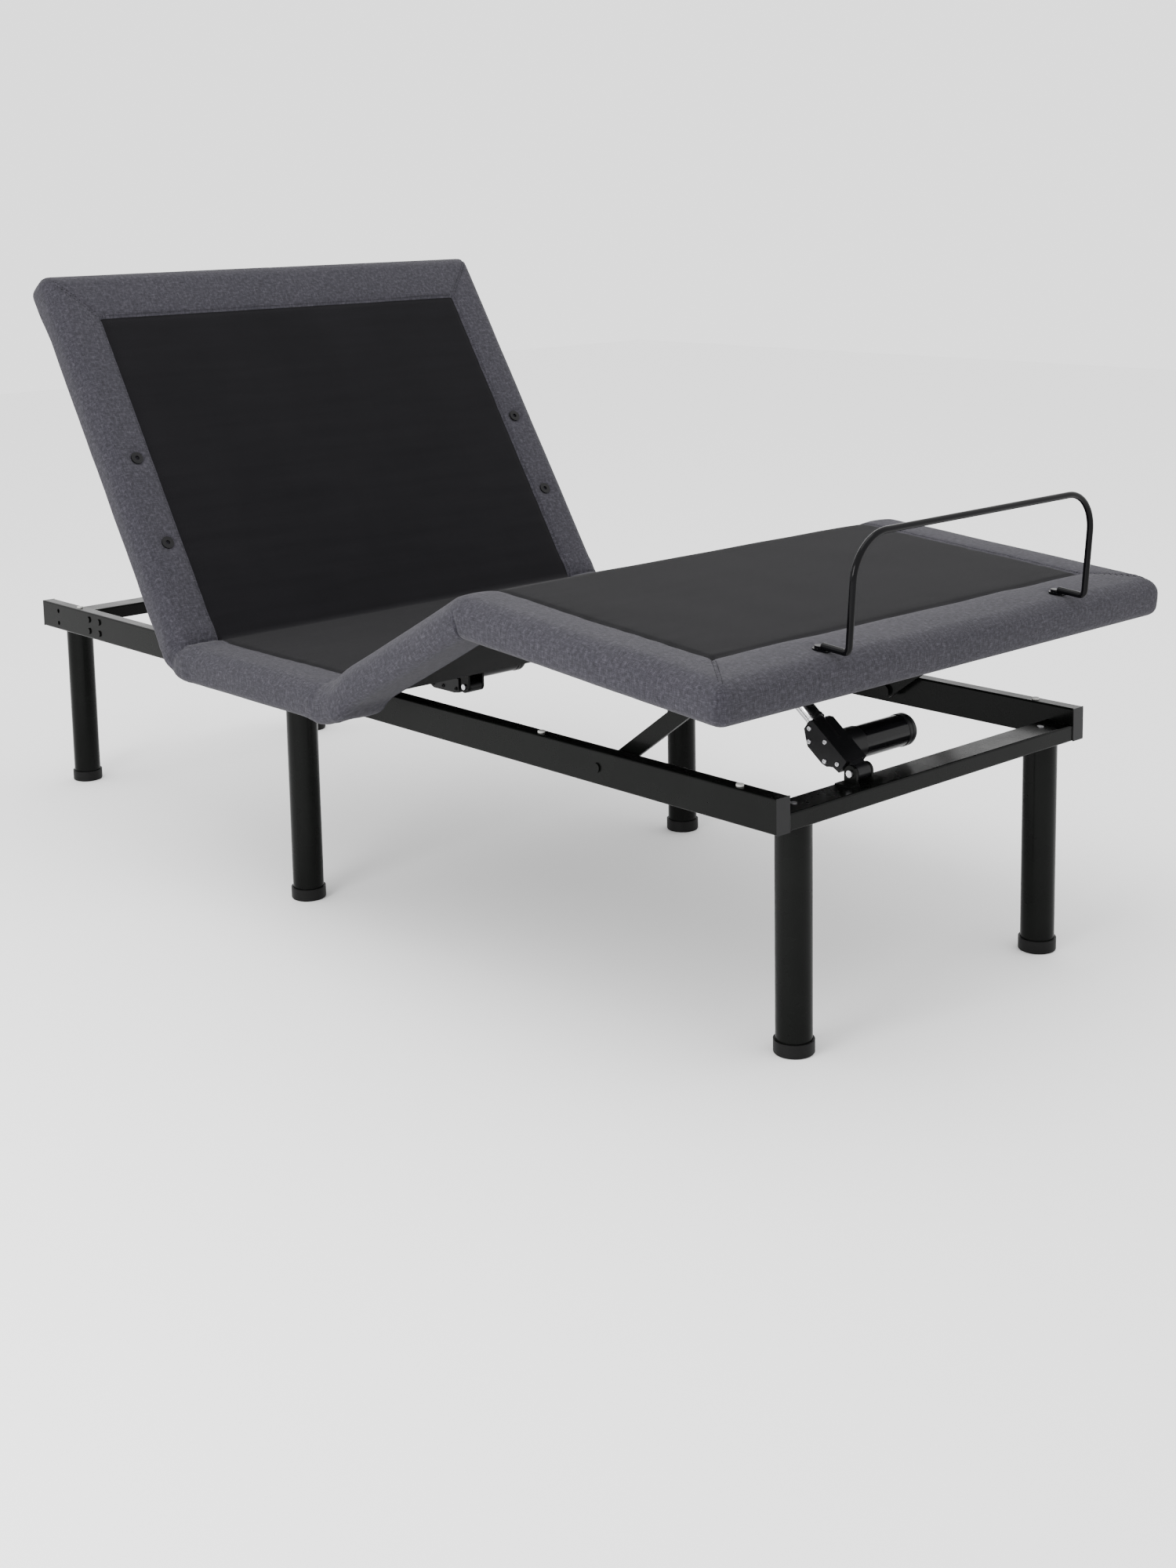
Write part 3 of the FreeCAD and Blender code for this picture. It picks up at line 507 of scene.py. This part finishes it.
# ---------------------------------------------------------------- shape of the padded cover
depth = 58.0
board_bottom = 35.0
panel_x = 400.0
panel_end = 97.0
border_w = half_w - panel_x
seam_margin = 2.0
knee_s, valley_s, back_s = [(a + b) / 2 for a, b in arc_spans]
cut_thigh = (arc_spans[0][1] + arc_spans[1][0]) / 2
cut_seat = (arc_spans[1][1] + arc_spans[2][0]) / 2
rim_r = 24.0
corner_r = 18.0
# The hem is rounded with hem_r, and more tightly over the last stretch at the head end
hem_r, head_hem_r = 14.0, 2.2
head_hem_length, hem_change = 50.0, 60.0

# A swell or groove is (height, reach to either side). A roll beside a groove has the distance
# between them last. A wave is (height, length one way, length the other way, seed).
border_crown, crown_power = 2.6, 0.85
panel_crown = (1.2, 45.0)
panel_seam = (2.6, 4.5)
seam_pucker, seam_pucker_reach = (0.9, 22.0, 60.0, 3.1), 22.0
mitre_seam = (2.0, 3.2)
mitre_pucker, mitre_pucker_reach = (1.2, 16.0, 16.0, 9.4), 26.0
edge_bulge = 2.2
corner_seam = (2.0, 3.5)
back_top_groove, back_top_roll = (4.2, 3.2), (2.2, 13.0, 22.0)
back_edge_groove, back_edge_roll = (3.4, 3.0), (1.6, 12.0, 20.0)
top_wave, panel_wave_share = (1.5, 95.0, 120.0, 0.7), 0.35
edge_waves = [(1.3, 85.0, 60.0, 5.2), (0.5, 26.0, 22.0, 7.7)]
gathers = [(valley_s, (1.9, 34.0)), (back_s, (1.6, 26.0))]
gather_top = (1.0, 11.0, 30.0, 11.0)
gather_edge, gather_push = (1.4, 9.0, 26.0, 12.0), 0.6
gather_least, gather_seed_step = 0.01, 500.0
knee_pinch, knee_pinch_start = (9.0, 6.5), 16.0
# Padding crowded down and out below the front of the seat
crowd_at = valley_s - 30.0
crowd_foot_reach, crowd_head_reach = 24.0, 34.0
crowd_out, crowd_down, crowd_power = 3.0, 10.0, 1.5
thigh_start = (7.0, 30.0)
# Dimples over the sockets in the back's borders and under the tabs of the mattress retainer
socket_dimple, socket_x, socket_up = (5.5, 15.0), 430.0, (196.0, 360.0)
tab_dimple, tab_x, tab_s, tab_squeeze = (3.0, 13.0), 260.0, 38.0, 0.6


def ripple(a, b, seed):
    return noise.noise(Vector((a, b, seed)))


def wave(shape, a, b, shift=0.0):
    height, a_length, b_length, seed = shape
    return height * ripple(a / a_length, b / b_length, seed + shift)


def swell(shape, distance):
    height, reach = shape
    return height * math.exp(-(distance / reach) ** 2)


def rolled(groove, roll, distance):
    """A groove with a rounded roll on either side of it."""
    height, reach, away = roll
    return swell((height, reach), abs(distance) - away) - swell(groove, distance)


def round_edge(inset, n, lower_r):
    """Moves a point near the upper or lower edge of the box onto its rounding: (inset, depth)."""
    if n < rim_r and inset < rim_r:
        a, b = rim_r - inset, rim_r - n
        k = max(a, b) / math.hypot(a, b)
        return rim_r - a * k, rim_r - b * k
    if n > depth - lower_r and inset < lower_r:
        a, b = lower_r - inset, n - (depth - lower_r)
        k = max(a, b) / math.hypot(a, b)
        return lower_r - a * k, depth - lower_r + b * k
    return inset, n


def place_in_plan(x, s, inset, new_inset):
    """Place of a point new_inset in from the outline with its rounded corners, and the way out there."""
    qx = max(-half_w + corner_r, min(half_w - corner_r, x))
    qs = max(corner_r, min(deck_len - corner_r, s))
    dx, ds = x - qx, s - qs
    if dx and ds:
        size = math.hypot(dx, ds)
        out_x, out_s = dx / size, ds / size
        return qx + out_x * (corner_r - new_inset), qs + out_s * (corner_r - new_inset), out_x, out_s
    if dx and inset == half_w - abs(x):
        out_x = math.copysign(1, x)
        return out_x * (half_w - new_inset), s, out_x, 0.0
    if ds:
        out_s = math.copysign(1, ds)
        return x, new_inset if out_s < 0 else deck_len - new_inset, 0.0, out_s
    return x, s, 0.0, 0.0


def panel_inset(x, s):
    """Distance in from the panel seam, negative on the border."""
    return min(panel_x - abs(x), s - panel_end, deck_len - panel_end - s)


def top_padding(x, s):
    """Rise of the top face: crowned border and panel, with their seams, puckers and dimples."""
    inside = panel_inset(x, s)
    if inside < 0:
        across = min(1.0, -inside / border_w)
        lift = border_crown * math.sin(math.pi * across ** crown_power)
    else:
        lift = panel_crown[0] * (1 - math.exp(-inside / panel_crown[1]))
    lift -= swell(panel_seam, inside)
    lift += wave(seam_pucker, s, x) * math.exp(-abs(inside) / seam_pucker_reach)
    past_side, from_end = abs(x) - panel_x, min(s, deck_len - s)
    mitre = abs(past_side * panel_end - (panel_end - from_end) * border_w) / math.hypot(panel_end, border_w)
    if past_side > -seam_margin and from_end < panel_end + seam_margin:
        lift -= swell(mitre_seam, mitre)
        lift += wave(mitre_pucker, x, s) * math.exp(-mitre / mitre_pucker_reach)
    for up_back in socket_up:
        lift -= swell(socket_dimple, math.hypot(abs(x) - socket_x, s - (deck_len - back_length + up_back)))
    return lift - swell(tab_dimple, math.hypot(abs(x) - tab_x, (s - tab_s) * tab_squeeze))


def edge_padding(x, s, n):
    """How far the upright faces bulge between rim and hem, less the groove of the upright corner seam."""
    bulge = edge_bulge * math.sin(math.pi * min(1.0, n / depth))
    return bulge - swell(corner_seam, max(min(s, deck_len - s), half_w - abs(x)))


def border_folds(x, s, n):
    """Lift and push of the border at the folds: the closed seam at the back, and gathered fabric."""
    lift = rolled(back_top_groove, back_top_roll, s - back_s)
    push = rolled(back_edge_groove, back_edge_roll, s - back_s)
    for centre, shape in gathers:
        size = swell(shape, s - centre)
        if size > gather_least * shape[0]:
            lift += size * wave(gather_top, abs(x), s - centre, centre / gather_seed_step + (x > 0))
            push += size * (gather_push + wave(gather_edge, s - centre, n, x > 0))
    return lift, push


def surface(x, s, n):
    """Rounded and padded place of a point of the flat box, as (x, s, depth)."""
    inset = max(0.0, min(half_w - abs(x), s, deck_len - s))
    full = min(1.0, max(0.0, (deck_len - head_hem_length - s) / hem_change))
    new_inset, new_n = round_edge(inset, n, head_hem_r + (hem_r - head_hem_r) * full)
    new_x, new_s, out_x, out_s = place_in_plan(x, s, inset, new_inset)
    # share of the surface that faces up, and the share that faces out
    up = 1.0 if inset >= rim_r else max(0.0, (rim_r - new_n) / rim_r)
    out = 1.0 - up
    lift = up * wave(top_wave, x, s) * (1.0 if panel_inset(x, s) < 0 else panel_wave_share)
    push = out * sum(wave(shape, s, n, x > 0) for shape in edge_waves)
    if n == 0:
        lift += top_padding(x, s)
    else:
        push += edge_padding(x, s, n)
    if abs(x) > panel_x - seam_margin:
        fold_lift, fold_push = border_folds(x, s, n)
        lift += up * fold_lift
        push += out * fold_push
    if abs(x) == half_w:
        push -= swell(knee_pinch, s - knee_s) * max(0.0, (n - knee_pinch_start) / depth)
    sag = 0.0
    if abs(x) > panel_x:
        lower = (n / depth) ** crowd_power
        crowd = lower * swell((1.0, crowd_foot_reach if s < crowd_at else crowd_head_reach), s - crowd_at)
        push += out * crowd_out * crowd
        outer = (abs(x) - panel_x) / border_w
        sag = crowd_down * crowd + swell(thigh_start, s - crowd_at) * outer * (1.0 - lower)
    return new_x + out_x * push, new_s + out_s * push, new_n - lift * up + sag


# ---------------------------------------------------------------- the cover's mesh
grid = 6.0
depth_grid = 4.0
edge_marks = [14.0, 34.0]
depth_marks = [0.0, 13.0, 26.0, 44.0, depth]
arc_steps = (14, 12, 16)
arc_margin = 30.0
inner_x = panel_x + 2.0
foot_inner = 82.0
head_inner = deck_len - 5.0
turn_up_gap = 1.0
turn_up_top = board_bottom + turn_up_gap
least_step = 1.0
end_uv_shift = 7.0


def steps(marks, size):
    """Evenly spaced values between each pair of marks."""
    out = [marks[0]]
    for a, b in zip(marks, marks[1:]):
        n = max(1, int(round((b - a) / size)))
        out += [a + (b - a) * k / n for k in range(1, n + 1)]
    return out


def s_marks():
    """Marks along the deck: its edges, the panel seams, the cuts, and fine steps over each fold."""
    marks = [0, *edge_marks, panel_end, cut_thigh, cut_seat, deck_len - panel_end, deck_len]
    marks += [deck_len - mark for mark in edge_marks]
    for (a, b), n in zip(arc_spans, arc_steps):
        marks += [a - arc_margin, a] + [a + (b - a) * k / n for k in range(1, n)] + [b, b + arc_margin]
    return sorted(marks)


def pairs(values):
    return list(zip(values, values[1:]))


side_marks = [mark - half_w for mark in [0.0] + edge_marks] + [-panel_x]
x_list = steps(side_marks + [-mark for mark in reversed(side_marks)], grid)
s_list = steps(s_marks(), grid)
n_list = steps(depth_marks, depth_grid)


class Cover:
    """The whole cover as one mesh, with uv per face corner, and the region and place of each face."""

    def __init__(self):
        self.index, self.verts = {}, []
        self.faces, self.uvs, self.regions, self.places = [], [], [], []

    def vertex(self, point, plain):
        key = tuple(round(v, 3) for v in point)
        if key not in self.index:
            self.index[key] = len(self.verts)
            self.verts.append(to_world(*point) if plain else to_world(*surface(*point)))
        return self.index[key]

    def quad(self, points, uv, region="border", flip=False, plain=(False,) * 4):
        """A face on four points; plain corners stay where the flat box has them."""
        points = points[::-1] if flip else points
        self.faces.append([self.vertex(p, f) for p, f in zip(points, plain)])
        self.uvs.append([tuple(v * MM for v in uv(p)) for p in points])
        self.regions.append(region)
        self.places.append(sum(p[1] for p in points) / 4)


def top_face(cover):
    for x0, x1 in pairs(x_list):
        for s0, s1 in pairs(s_list):
            region = "panel" if panel_inset((x0 + x1) / 2, (s0 + s1) / 2) > 0 else "border"
            cover.quad([(x0, s0, 0), (x1, s0, 0), (x1, s1, 0), (x0, s1, 0)], lambda p: (p[0], p[1]), region)


def upright_faces(cover):
    for side in (-1, 1):
        x = side * half_w
        for s0, s1 in pairs(s_list):
            for n0, n1 in pairs(n_list):
                cover.quad([(x, s0, n0), (x, s1, n0), (x, s1, n1), (x, s0, n1)],
                           lambda p: (half_w + p[2], p[1]), flip=side > 0)
    for s in (0.0, deck_len):
        for x0, x1 in pairs(x_list):
            for n0, n1 in pairs(n_list):
                cover.quad([(x0, s, n0), (x0, s, n1), (x1, s, n1), (x1, s, n0)],
                           lambda p: (p[0], p[2] + end_uv_shift), flip=s > 0)


def side_hems(cover):
    """Underside hem along both sides, turned up inside, clear of the board."""
    for x0, x1 in pairs([x for x in x_list if x < -inner_x - least_step] + [-inner_x]):
        for s0, s1 in pairs(s_list):
            for side in (1, -1):
                outer, inner = side * x0, side * x1
                cover.quad([(outer, s0, depth), (outer, s1, depth), (inner, s1, depth), (inner, s0, depth)],
                           lambda p: (p[0], p[1]), flip=side < 0)
    for s0, s1 in pairs(s_list):
        for side in (1, -1):
            x = side * inner_x
            cover.quad([(x, s0, depth), (x, s0, turn_up_top), (x, s1, turn_up_top), (x, s1, depth)],
                       lambda p: (p[2], p[1]), flip=side > 0, plain=(True,) * 4)


def end_hem(cover, s_from, s_to, s_in, at_foot):
    """Underside hem across one end, turned up at s_in."""
    band = [s_from] + [s for s in s_list if s_from + least_step < s < s_to - least_step] + [s_to]
    for x0, x1 in pairs([-inner_x] + [x for x in x_list if abs(x) < inner_x - least_step] + [inner_x]):
        for s0, s1 in pairs(band):
            cover.quad([(x0, s0, depth), (x0, s1, depth), (x1, s1, depth), (x1, s0, depth)],
                       lambda p: (p[0], p[1]))
        cover.quad([(x0, s_in, depth), (x0, s_in, turn_up_top), (x1, s_in, turn_up_top), (x1, s_in, depth)],
                   lambda p: (p[0], p[2]), flip=at_foot, plain=(at_foot, True, True, at_foot))


def build_cover():
    cover = Cover()
    top_face(cover)
    upright_faces(cover)
    side_hems(cover)
    end_hem(cover, 0.0, foot_inner, foot_inner, at_foot=True)
    end_hem(cover, head_inner, deck_len, head_inner, at_foot=False)
    return cover


# Each cover bends over one fold: name, where it ends, the bodies it joins, the fold, whether the
# second body lies towards the foot, and the deck sections whose CAD padding it stands for
SECTIONS = [("calf", cut_thigh, "thigh", "calf", 0, True, ["calf", "thigh"]),
            ("seat", cut_seat, "chassis", "thigh", 1, True, ["seat"]),
            ("back", deck_len + 1, "chassis", "back", 2, False, ["back"])]


def section_at(s):
    return next(name for name, end, *_ in SECTIONS if s < end)


def bend_line(fold, to_foot):
    """Start and end of the bend over one fold, at mid depth of the edge, first body first."""
    margin, level = 2.0, depth * 0.6
    a, b = arc_spans[fold]
    ends = [to_world(0, a - margin, level), to_world(0, b + margin, level)]
    return ends[::-1] if to_foot else ends


def new_object(name, verts, faces, mat):
    mesh = bpy.data.meshes.new(name)
    mesh.from_pydata(verts, [], faces)
    mesh.polygons.foreach_set("use_smooth", [True] * len(faces))
    mesh.update()
    obj = bpy.data.objects.new(name, mesh)
    scene.collection.objects.link(obj)
    obj.data.materials.append(MATS[mat])
    return obj


def cover_piece(name, cover, pick, normals, mat):
    """The picked faces of the cover as their own object, shaded as if the cover were still whole."""
    faces = [cover.faces[i] for i in pick]
    used = sorted({v for face in faces for v in face})
    remap = {v: i for i, v in enumerate(used)}
    obj = new_object(name, [cover.verts[v] for v in used], [[remap[v] for v in face] for face in faces], mat)
    layer = obj.data.uv_layers.new(name="UVMap")
    layer.data.foreach_set("uv", [c for i in pick for uv in cover.uvs[i] for c in uv])
    obj.data.normals_split_custom_set_from_vertices([normals[v] for v in used])
    return obj


def make_covers():
    cover = build_cover()
    whole = bpy.data.meshes.new("whole")
    whole.from_pydata(cover.verts, [], cover.faces)
    whole.update()
    normals = [tuple(v.normal) for v in whole.vertices]
    for name, _, body_a, body_b, fold, to_foot, sections in SECTIONS:
        p, q = bend_line(fold, to_foot)
        for region, mat, kind in (("border", "grey_linen", "bolsters"), ("panel", "black_felt", "foam")):
            pick = [i for i, place in enumerate(cover.places)
                    if cover.regions[i] == region and section_at(place) == name]
            obj = cover_piece(name + "_cover_" + region, cover, pick, normals, mat)
            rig.blend(obj, body_a, body_b, p, q)
            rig.replaces(obj, *[section + "_" + kind for section in sections])
            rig.slot(obj, mat)
            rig.padded(obj, fill=0.9)
    bpy.data.meshes.remove(whole)


make_covers()


# ---------------------------------------------------------------- stitching on the cover
stitch_pitch = 4.6
stitch_half_l, stitch_half_t = 1.5, 0.42
stitch_rise, stitch_sink, stitch_flat = 0.55, -0.4, 0.7
row_out = 5.0
mitre_rows = (-4.0, 4.0)
mitre_start, mitre_end = 9.0, border_w - 16.0


def places(first, last, pitch):
    at = first
    while at < last:
        yield at
        at += pitch


def stitch_rows():
    """Middle points and directions of every stitch as (x, s, dx, ds), on the flat cover."""
    rows = []
    for side in (-1, 1):
        for at in places(panel_end, deck_len - panel_end, stitch_pitch):
            rows.append((side * (panel_x + row_out), at, 0.0, 1.0))
    for edge in (panel_end - row_out, deck_len - panel_end + row_out):
        for at in places(-panel_x, panel_x, stitch_pitch):
            rows.append((at, edge, 1.0, 0.0))
    slope = panel_end / border_w
    size = math.hypot(1.0, slope)
    for side in (-1, 1):
        for base, way in ((panel_end, -1.0), (deck_len - panel_end, 1.0)):
            for offset in mitre_rows:
                for at in places(mitre_start, mitre_end, stitch_pitch / size):
                    rows.append((side * (panel_x + at), base + way * (at * slope) + offset,
                                 side / size, way * slope / size))
    return rows


def add_stitch(verts, faces, x, s, dx, ds):
    """A stitch that comes up out of the cover, lies flat and goes down again."""
    first = len(verts)
    flat = stitch_half_l * stitch_flat
    for ahead, level in ((-stitch_half_l, stitch_sink), (-flat, stitch_rise),
                         (flat, stitch_rise), (stitch_half_l, stitch_sink)):
        for aside in (-stitch_half_t, stitch_half_t):
            px, ps, pn = surface(x + dx * ahead - ds * aside, s + ds * ahead + dx * aside, 0.0)
            verts.append(to_world(px, ps, pn - level))
    for k in range(3):
        a = first + 2 * k
        faces.append((a, a + 1, a + 3, a + 2))
    faces.append((first, first + 2, first + 4, first + 6))
    faces.append((first + 1, first + 7, first + 5, first + 3))
    faces.append((first, first + 6, first + 7, first + 1))


def make_stitching():
    meshes = {section[0]: ([], []) for section in SECTIONS}
    for x, s, dx, ds in stitch_rows():
        add_stitch(*meshes[section_at(s)], x, s, dx, ds)
    for name, _, body_a, body_b, fold, to_foot, _ in SECTIONS:
        obj = new_object(name + "_cover_stitching", *meshes[name], "thread")
        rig.blend(obj, body_a, body_b, *bend_line(fold, to_foot))
        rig.slot(obj, "grey_linen")


make_stitching()


# ---------------------------------------------------------------- small hardware
def add_hardware(name, verts, faces, mat, body):
    obj = new_object(name, verts, faces, mat)
    obj.data.set_sharp_from_angle(angle=math.radians(38))
    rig.ride(obj, body)
    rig.slot(obj, mat)


def wrap(verts, faces, rings, turned=False):
    """Adds rings of points and the faces between each ring and the next."""
    first, count = len(verts), len(rings[0])
    for ring in rings:
        verts.extend(ring)
    for i in range(len(rings) - 1):
        for k in range(count):
            a = first + i * count + k
            b = first + i * count + (k + 1) % count
            face = (a, b, b + count, a + count)
            faces.append(face[::-1] if turned else face)


def circle(count):
    return [2 * math.pi * k / count for k in range(count)]


def lathe(profile, centre, sign, verts, faces, count):
    """Turns (radius, height) points round an X axis through centre; sign gives the way it faces."""
    rings = [[(centre[0] + sign * height * MM, centre[1] + radius * MM * math.cos(t),
               centre[2] + radius * MM * math.sin(t)) for t in circle(count)] for radius, height in profile]
    wrap(verts, faces, rings, turned=sign < 0)


# Outlines of a screw head and of a motor's end cap, as (radius, height) in mm
SCREW = [(3.4, -0.3), (3.4, 1.2), (3.0, 1.9), (1.7, 2.0), (1.5, 0.9), (0.05, 0.9)]
CAP = [(23.0, -15.0), (23.9, -14.4), (23.9, -9.2), (23.3, -8.8), (23.3, -7.8), (23.9, -7.4), (23.9, -2.4),
       (22.4, 0.7), (15.0, 0.9), (14.4, 0.3), (9.0, 0.3), (8.4, 1.5), (0.05, 1.7)]
# The pin's place: in from the left face of a gearbox, and from the foot-side lower edge of the head one
gear_pin_x = 21.0
head_pin_y, head_pin_z = 11.0, 14.0
tube_start = 95.0
foot_tube_end, head_tube_end = 148.0, 165.0
# Cover screws, as (along the rod, across it) from the pin
foot_screws = [(22, -4), (40, -18), (76, -17), (87, -2), (56, 4)]
head_screws = [(20, -6), (46, 34), (84, 34), (84, -6), (56, -6)]


def guide_tube(prefix, body, pin, run, rise, middle_x, end_s):
    """Aluminium tube over the nose, with a collar and a wiper ring at its end."""
    profile = [(tube_start, 11.5), (tube_start, 13.4), (tube_start + 5, 13.4), (tube_start + 6, 12.3),
               (end_s - 7, 12.3), (end_s - 6, 13.0), (end_s - 1, 13.0), (end_s, 12.2), (end_s + 0.4, 10.2),
               (end_s - 1, 9.3)]
    rings = []
    for s, radius in profile:
        ring = []
        for t in circle(36):
            p = (run * s + rise * radius * math.sin(t)) * MM + pin
            ring.append((middle_x + radius * MM * math.cos(t), p[0], p[1]))
        rings.append(ring)
    verts, faces = [], []
    wrap(verts, faces, rings, turned=True)
    add_hardware(prefix + "_guide_tube", verts, faces, "bright_steel", body)


def dress_actuator(prefix, body, pin, degrees, screws, screw_mat, tube_end):
    """Cover screws on the gearbox, a guide tube over its nose and an end cap on the motor."""
    run, rise = direction(degrees), normal(degrees)
    gear_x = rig.box(prefix + "_gearbox")[0].x
    verts, faces = [], []
    for s, n in screws:
        p = run * s * MM + rise * n * MM + pin
        lathe(SCREW, (gear_x, p[0], p[1]), -1, verts, faces, count=20)
    add_hardware(prefix + "_gearbox_screws", verts, faces, screw_mat, body)
    guide_tube(prefix, body, pin, run, rise, gear_x + gear_pin_x * MM, tube_end)
    lo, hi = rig.box(prefix + "_motor")
    verts, faces = [], []
    lathe(CAP, (hi.x, (lo.y + hi.y) / 2, (lo.z + hi.z) / 2), 1, verts, faces, count=48)
    add_hardware(prefix + "_motor_cap", verts, faces, "black_plastic", body)


slide = joints["foot_rod_slide"]["axis"]
foot_degrees = math.degrees(math.atan2(slide[2], slide[1]))
head_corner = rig.box("head_gearbox")[0]
head_pin = np.array([head_corner.y + head_pin_y * MM, head_corner.z + head_pin_z * MM])
dress_actuator("foot", "foot_actuator", yz("foot_actuator_tilt") * MM, foot_degrees,
               foot_screws, "zinc_steel", foot_tube_end)
dress_actuator("head", "chassis", head_pin, 0.0, head_screws, "black_steel", head_tube_end)


def bead(p, q, verts, faces):
    """A weld bead from p to q: overlapping ripples, thinner at both ends."""
    radius, ripple_length, count = 1.5, 0.9, 8
    end_rings, thinnest = 3, 0.02
    lump, lump_turn, uneven, uneven_step = 0.16, 2.1, 0.12, 0.37
    p, q = Vector(p), Vector(q)
    way = q - p
    last = max(6, int(way.length / (ripple_length * MM)))
    side = way.orthogonal().normalized()
    other = way.cross(side).normalized()
    rings = []
    for i in range(last + 1):
        t = i / last
        cap = math.sin(math.pi * min(1.0, min(t, 1 - t) * last / end_rings + thinnest) / 2)
        rough = lump * math.sin(i * lump_turn) + uneven * ripple(i * uneven_step, p.y * 9, p.x * 7)
        r = radius * MM * cap * (1 + rough)
        middle = p + way * t
        rings.append([tuple(middle + (side * math.cos(a) + other * math.sin(a)) * r) for a in circle(count)])
    wrap(verts, faces, rings)


def make_welds():
    """Beads where the cross rails meet the side rails."""
    spans = [(lo.y, hi.y) for lo, hi in (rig.box("foot_cross_rail"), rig.box("head_cross_rail"))]
    lo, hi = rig.box("seat_cross_rails")
    wide = spans[0][1] - spans[0][0]
    spans += [(lo.y, lo.y + wide), (hi.y - wide, hi.y)]
    below, above = lo.z + 1 * MM, hi.z - 1 * MM
    verts, faces = [], []
    for y0, y1 in spans:
        for x in (lo.x, hi.x):
            bead((x, y0, below), (x, y0, above), verts, faces)
            bead((x, y1, below), (x, y1, above), verts, faces)
            bead((x, y0 + 2 * MM, hi.z), (x, y1 - 2 * MM, hi.z), verts, faces)
    add_hardware("cross_rail_welds", verts, faces, "black_steel", "chassis")


make_welds()


# ---------------------------------------------------------------- softened edges on the steel and plastic
def soften(name):
    mod = frame["nodes"][name].modifiers.new("edge", "BEVEL")
    mod.width = 0.0012
    mod.segments = 2
    mod.limit_method = "ANGLE"
    mod.angle_limit = math.radians(40)


for edged in ("foot_gearbox", "head_gearbox", "actuator_base_brackets", "calf_actuator_bracket",
              "calf_link_brackets", "mid_leg_bracket", "left_calf_link", "right_calf_link", "control_box",
              "head_lift_arms"):
    soften(edged)


# ---------------------------------------------------------------- studio
def make_floor():
    size, shade = 9.0, 0.93
    m = Nodes("floor")
    m.put("Base Color", (shade, shade, shade))
    m.put("Roughness", 0.9)
    mesh = bpy.data.meshes.new("floor")
    corner_points = [(-size, -size, 0), (size, -size, 0), (size, size, 0), (-size, size, 0)]
    mesh.from_pydata(corner_points, [], [(0, 1, 2, 3)])
    mesh.materials.append(m.mat)
    floor = bpy.data.objects.new("floor", mesh)
    scene.collection.objects.link(floor)
    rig.stage(floor)


def make_world():
    world = bpy.data.worlds.new("world")
    world.use_nodes = True
    background = world.node_tree.nodes["Background"]
    background.inputs["Color"].default_value = (1, 1, 1, 1)
    background.inputs["Strength"].default_value = 2.0
    scene.world = world


def make_light(name, place, aim, power, width, height):
    data = bpy.data.lights.new(name, "AREA")
    data.energy = power
    data.shape = "RECTANGLE"
    data.size = width
    data.size_y = height
    light = bpy.data.objects.new(name, data)
    light.location = place
    light.rotation_euler = (Vector(aim) - Vector(place)).to_track_quat("-Z", "Y").to_euler()
    scene.collection.objects.link(light)
    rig.stage(light)


make_floor()
make_world()
make_light("key", (-2.9, -0.9, 1.1), (-0.3, -0.75, 0.5), power=62, width=1.2, height=1.0)
make_light("top", (-0.8, 0.2, 4.5), (0, 0, 0.3), power=110, width=4.0, height=3.0)
place_camera()

new_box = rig.bounds()
with open("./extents.json", "w") as f:
    json.dump({"cad": [list(map(float, v)) for v in cad_box], "now": [list(map(float, v)) for v in new_box]}, f)
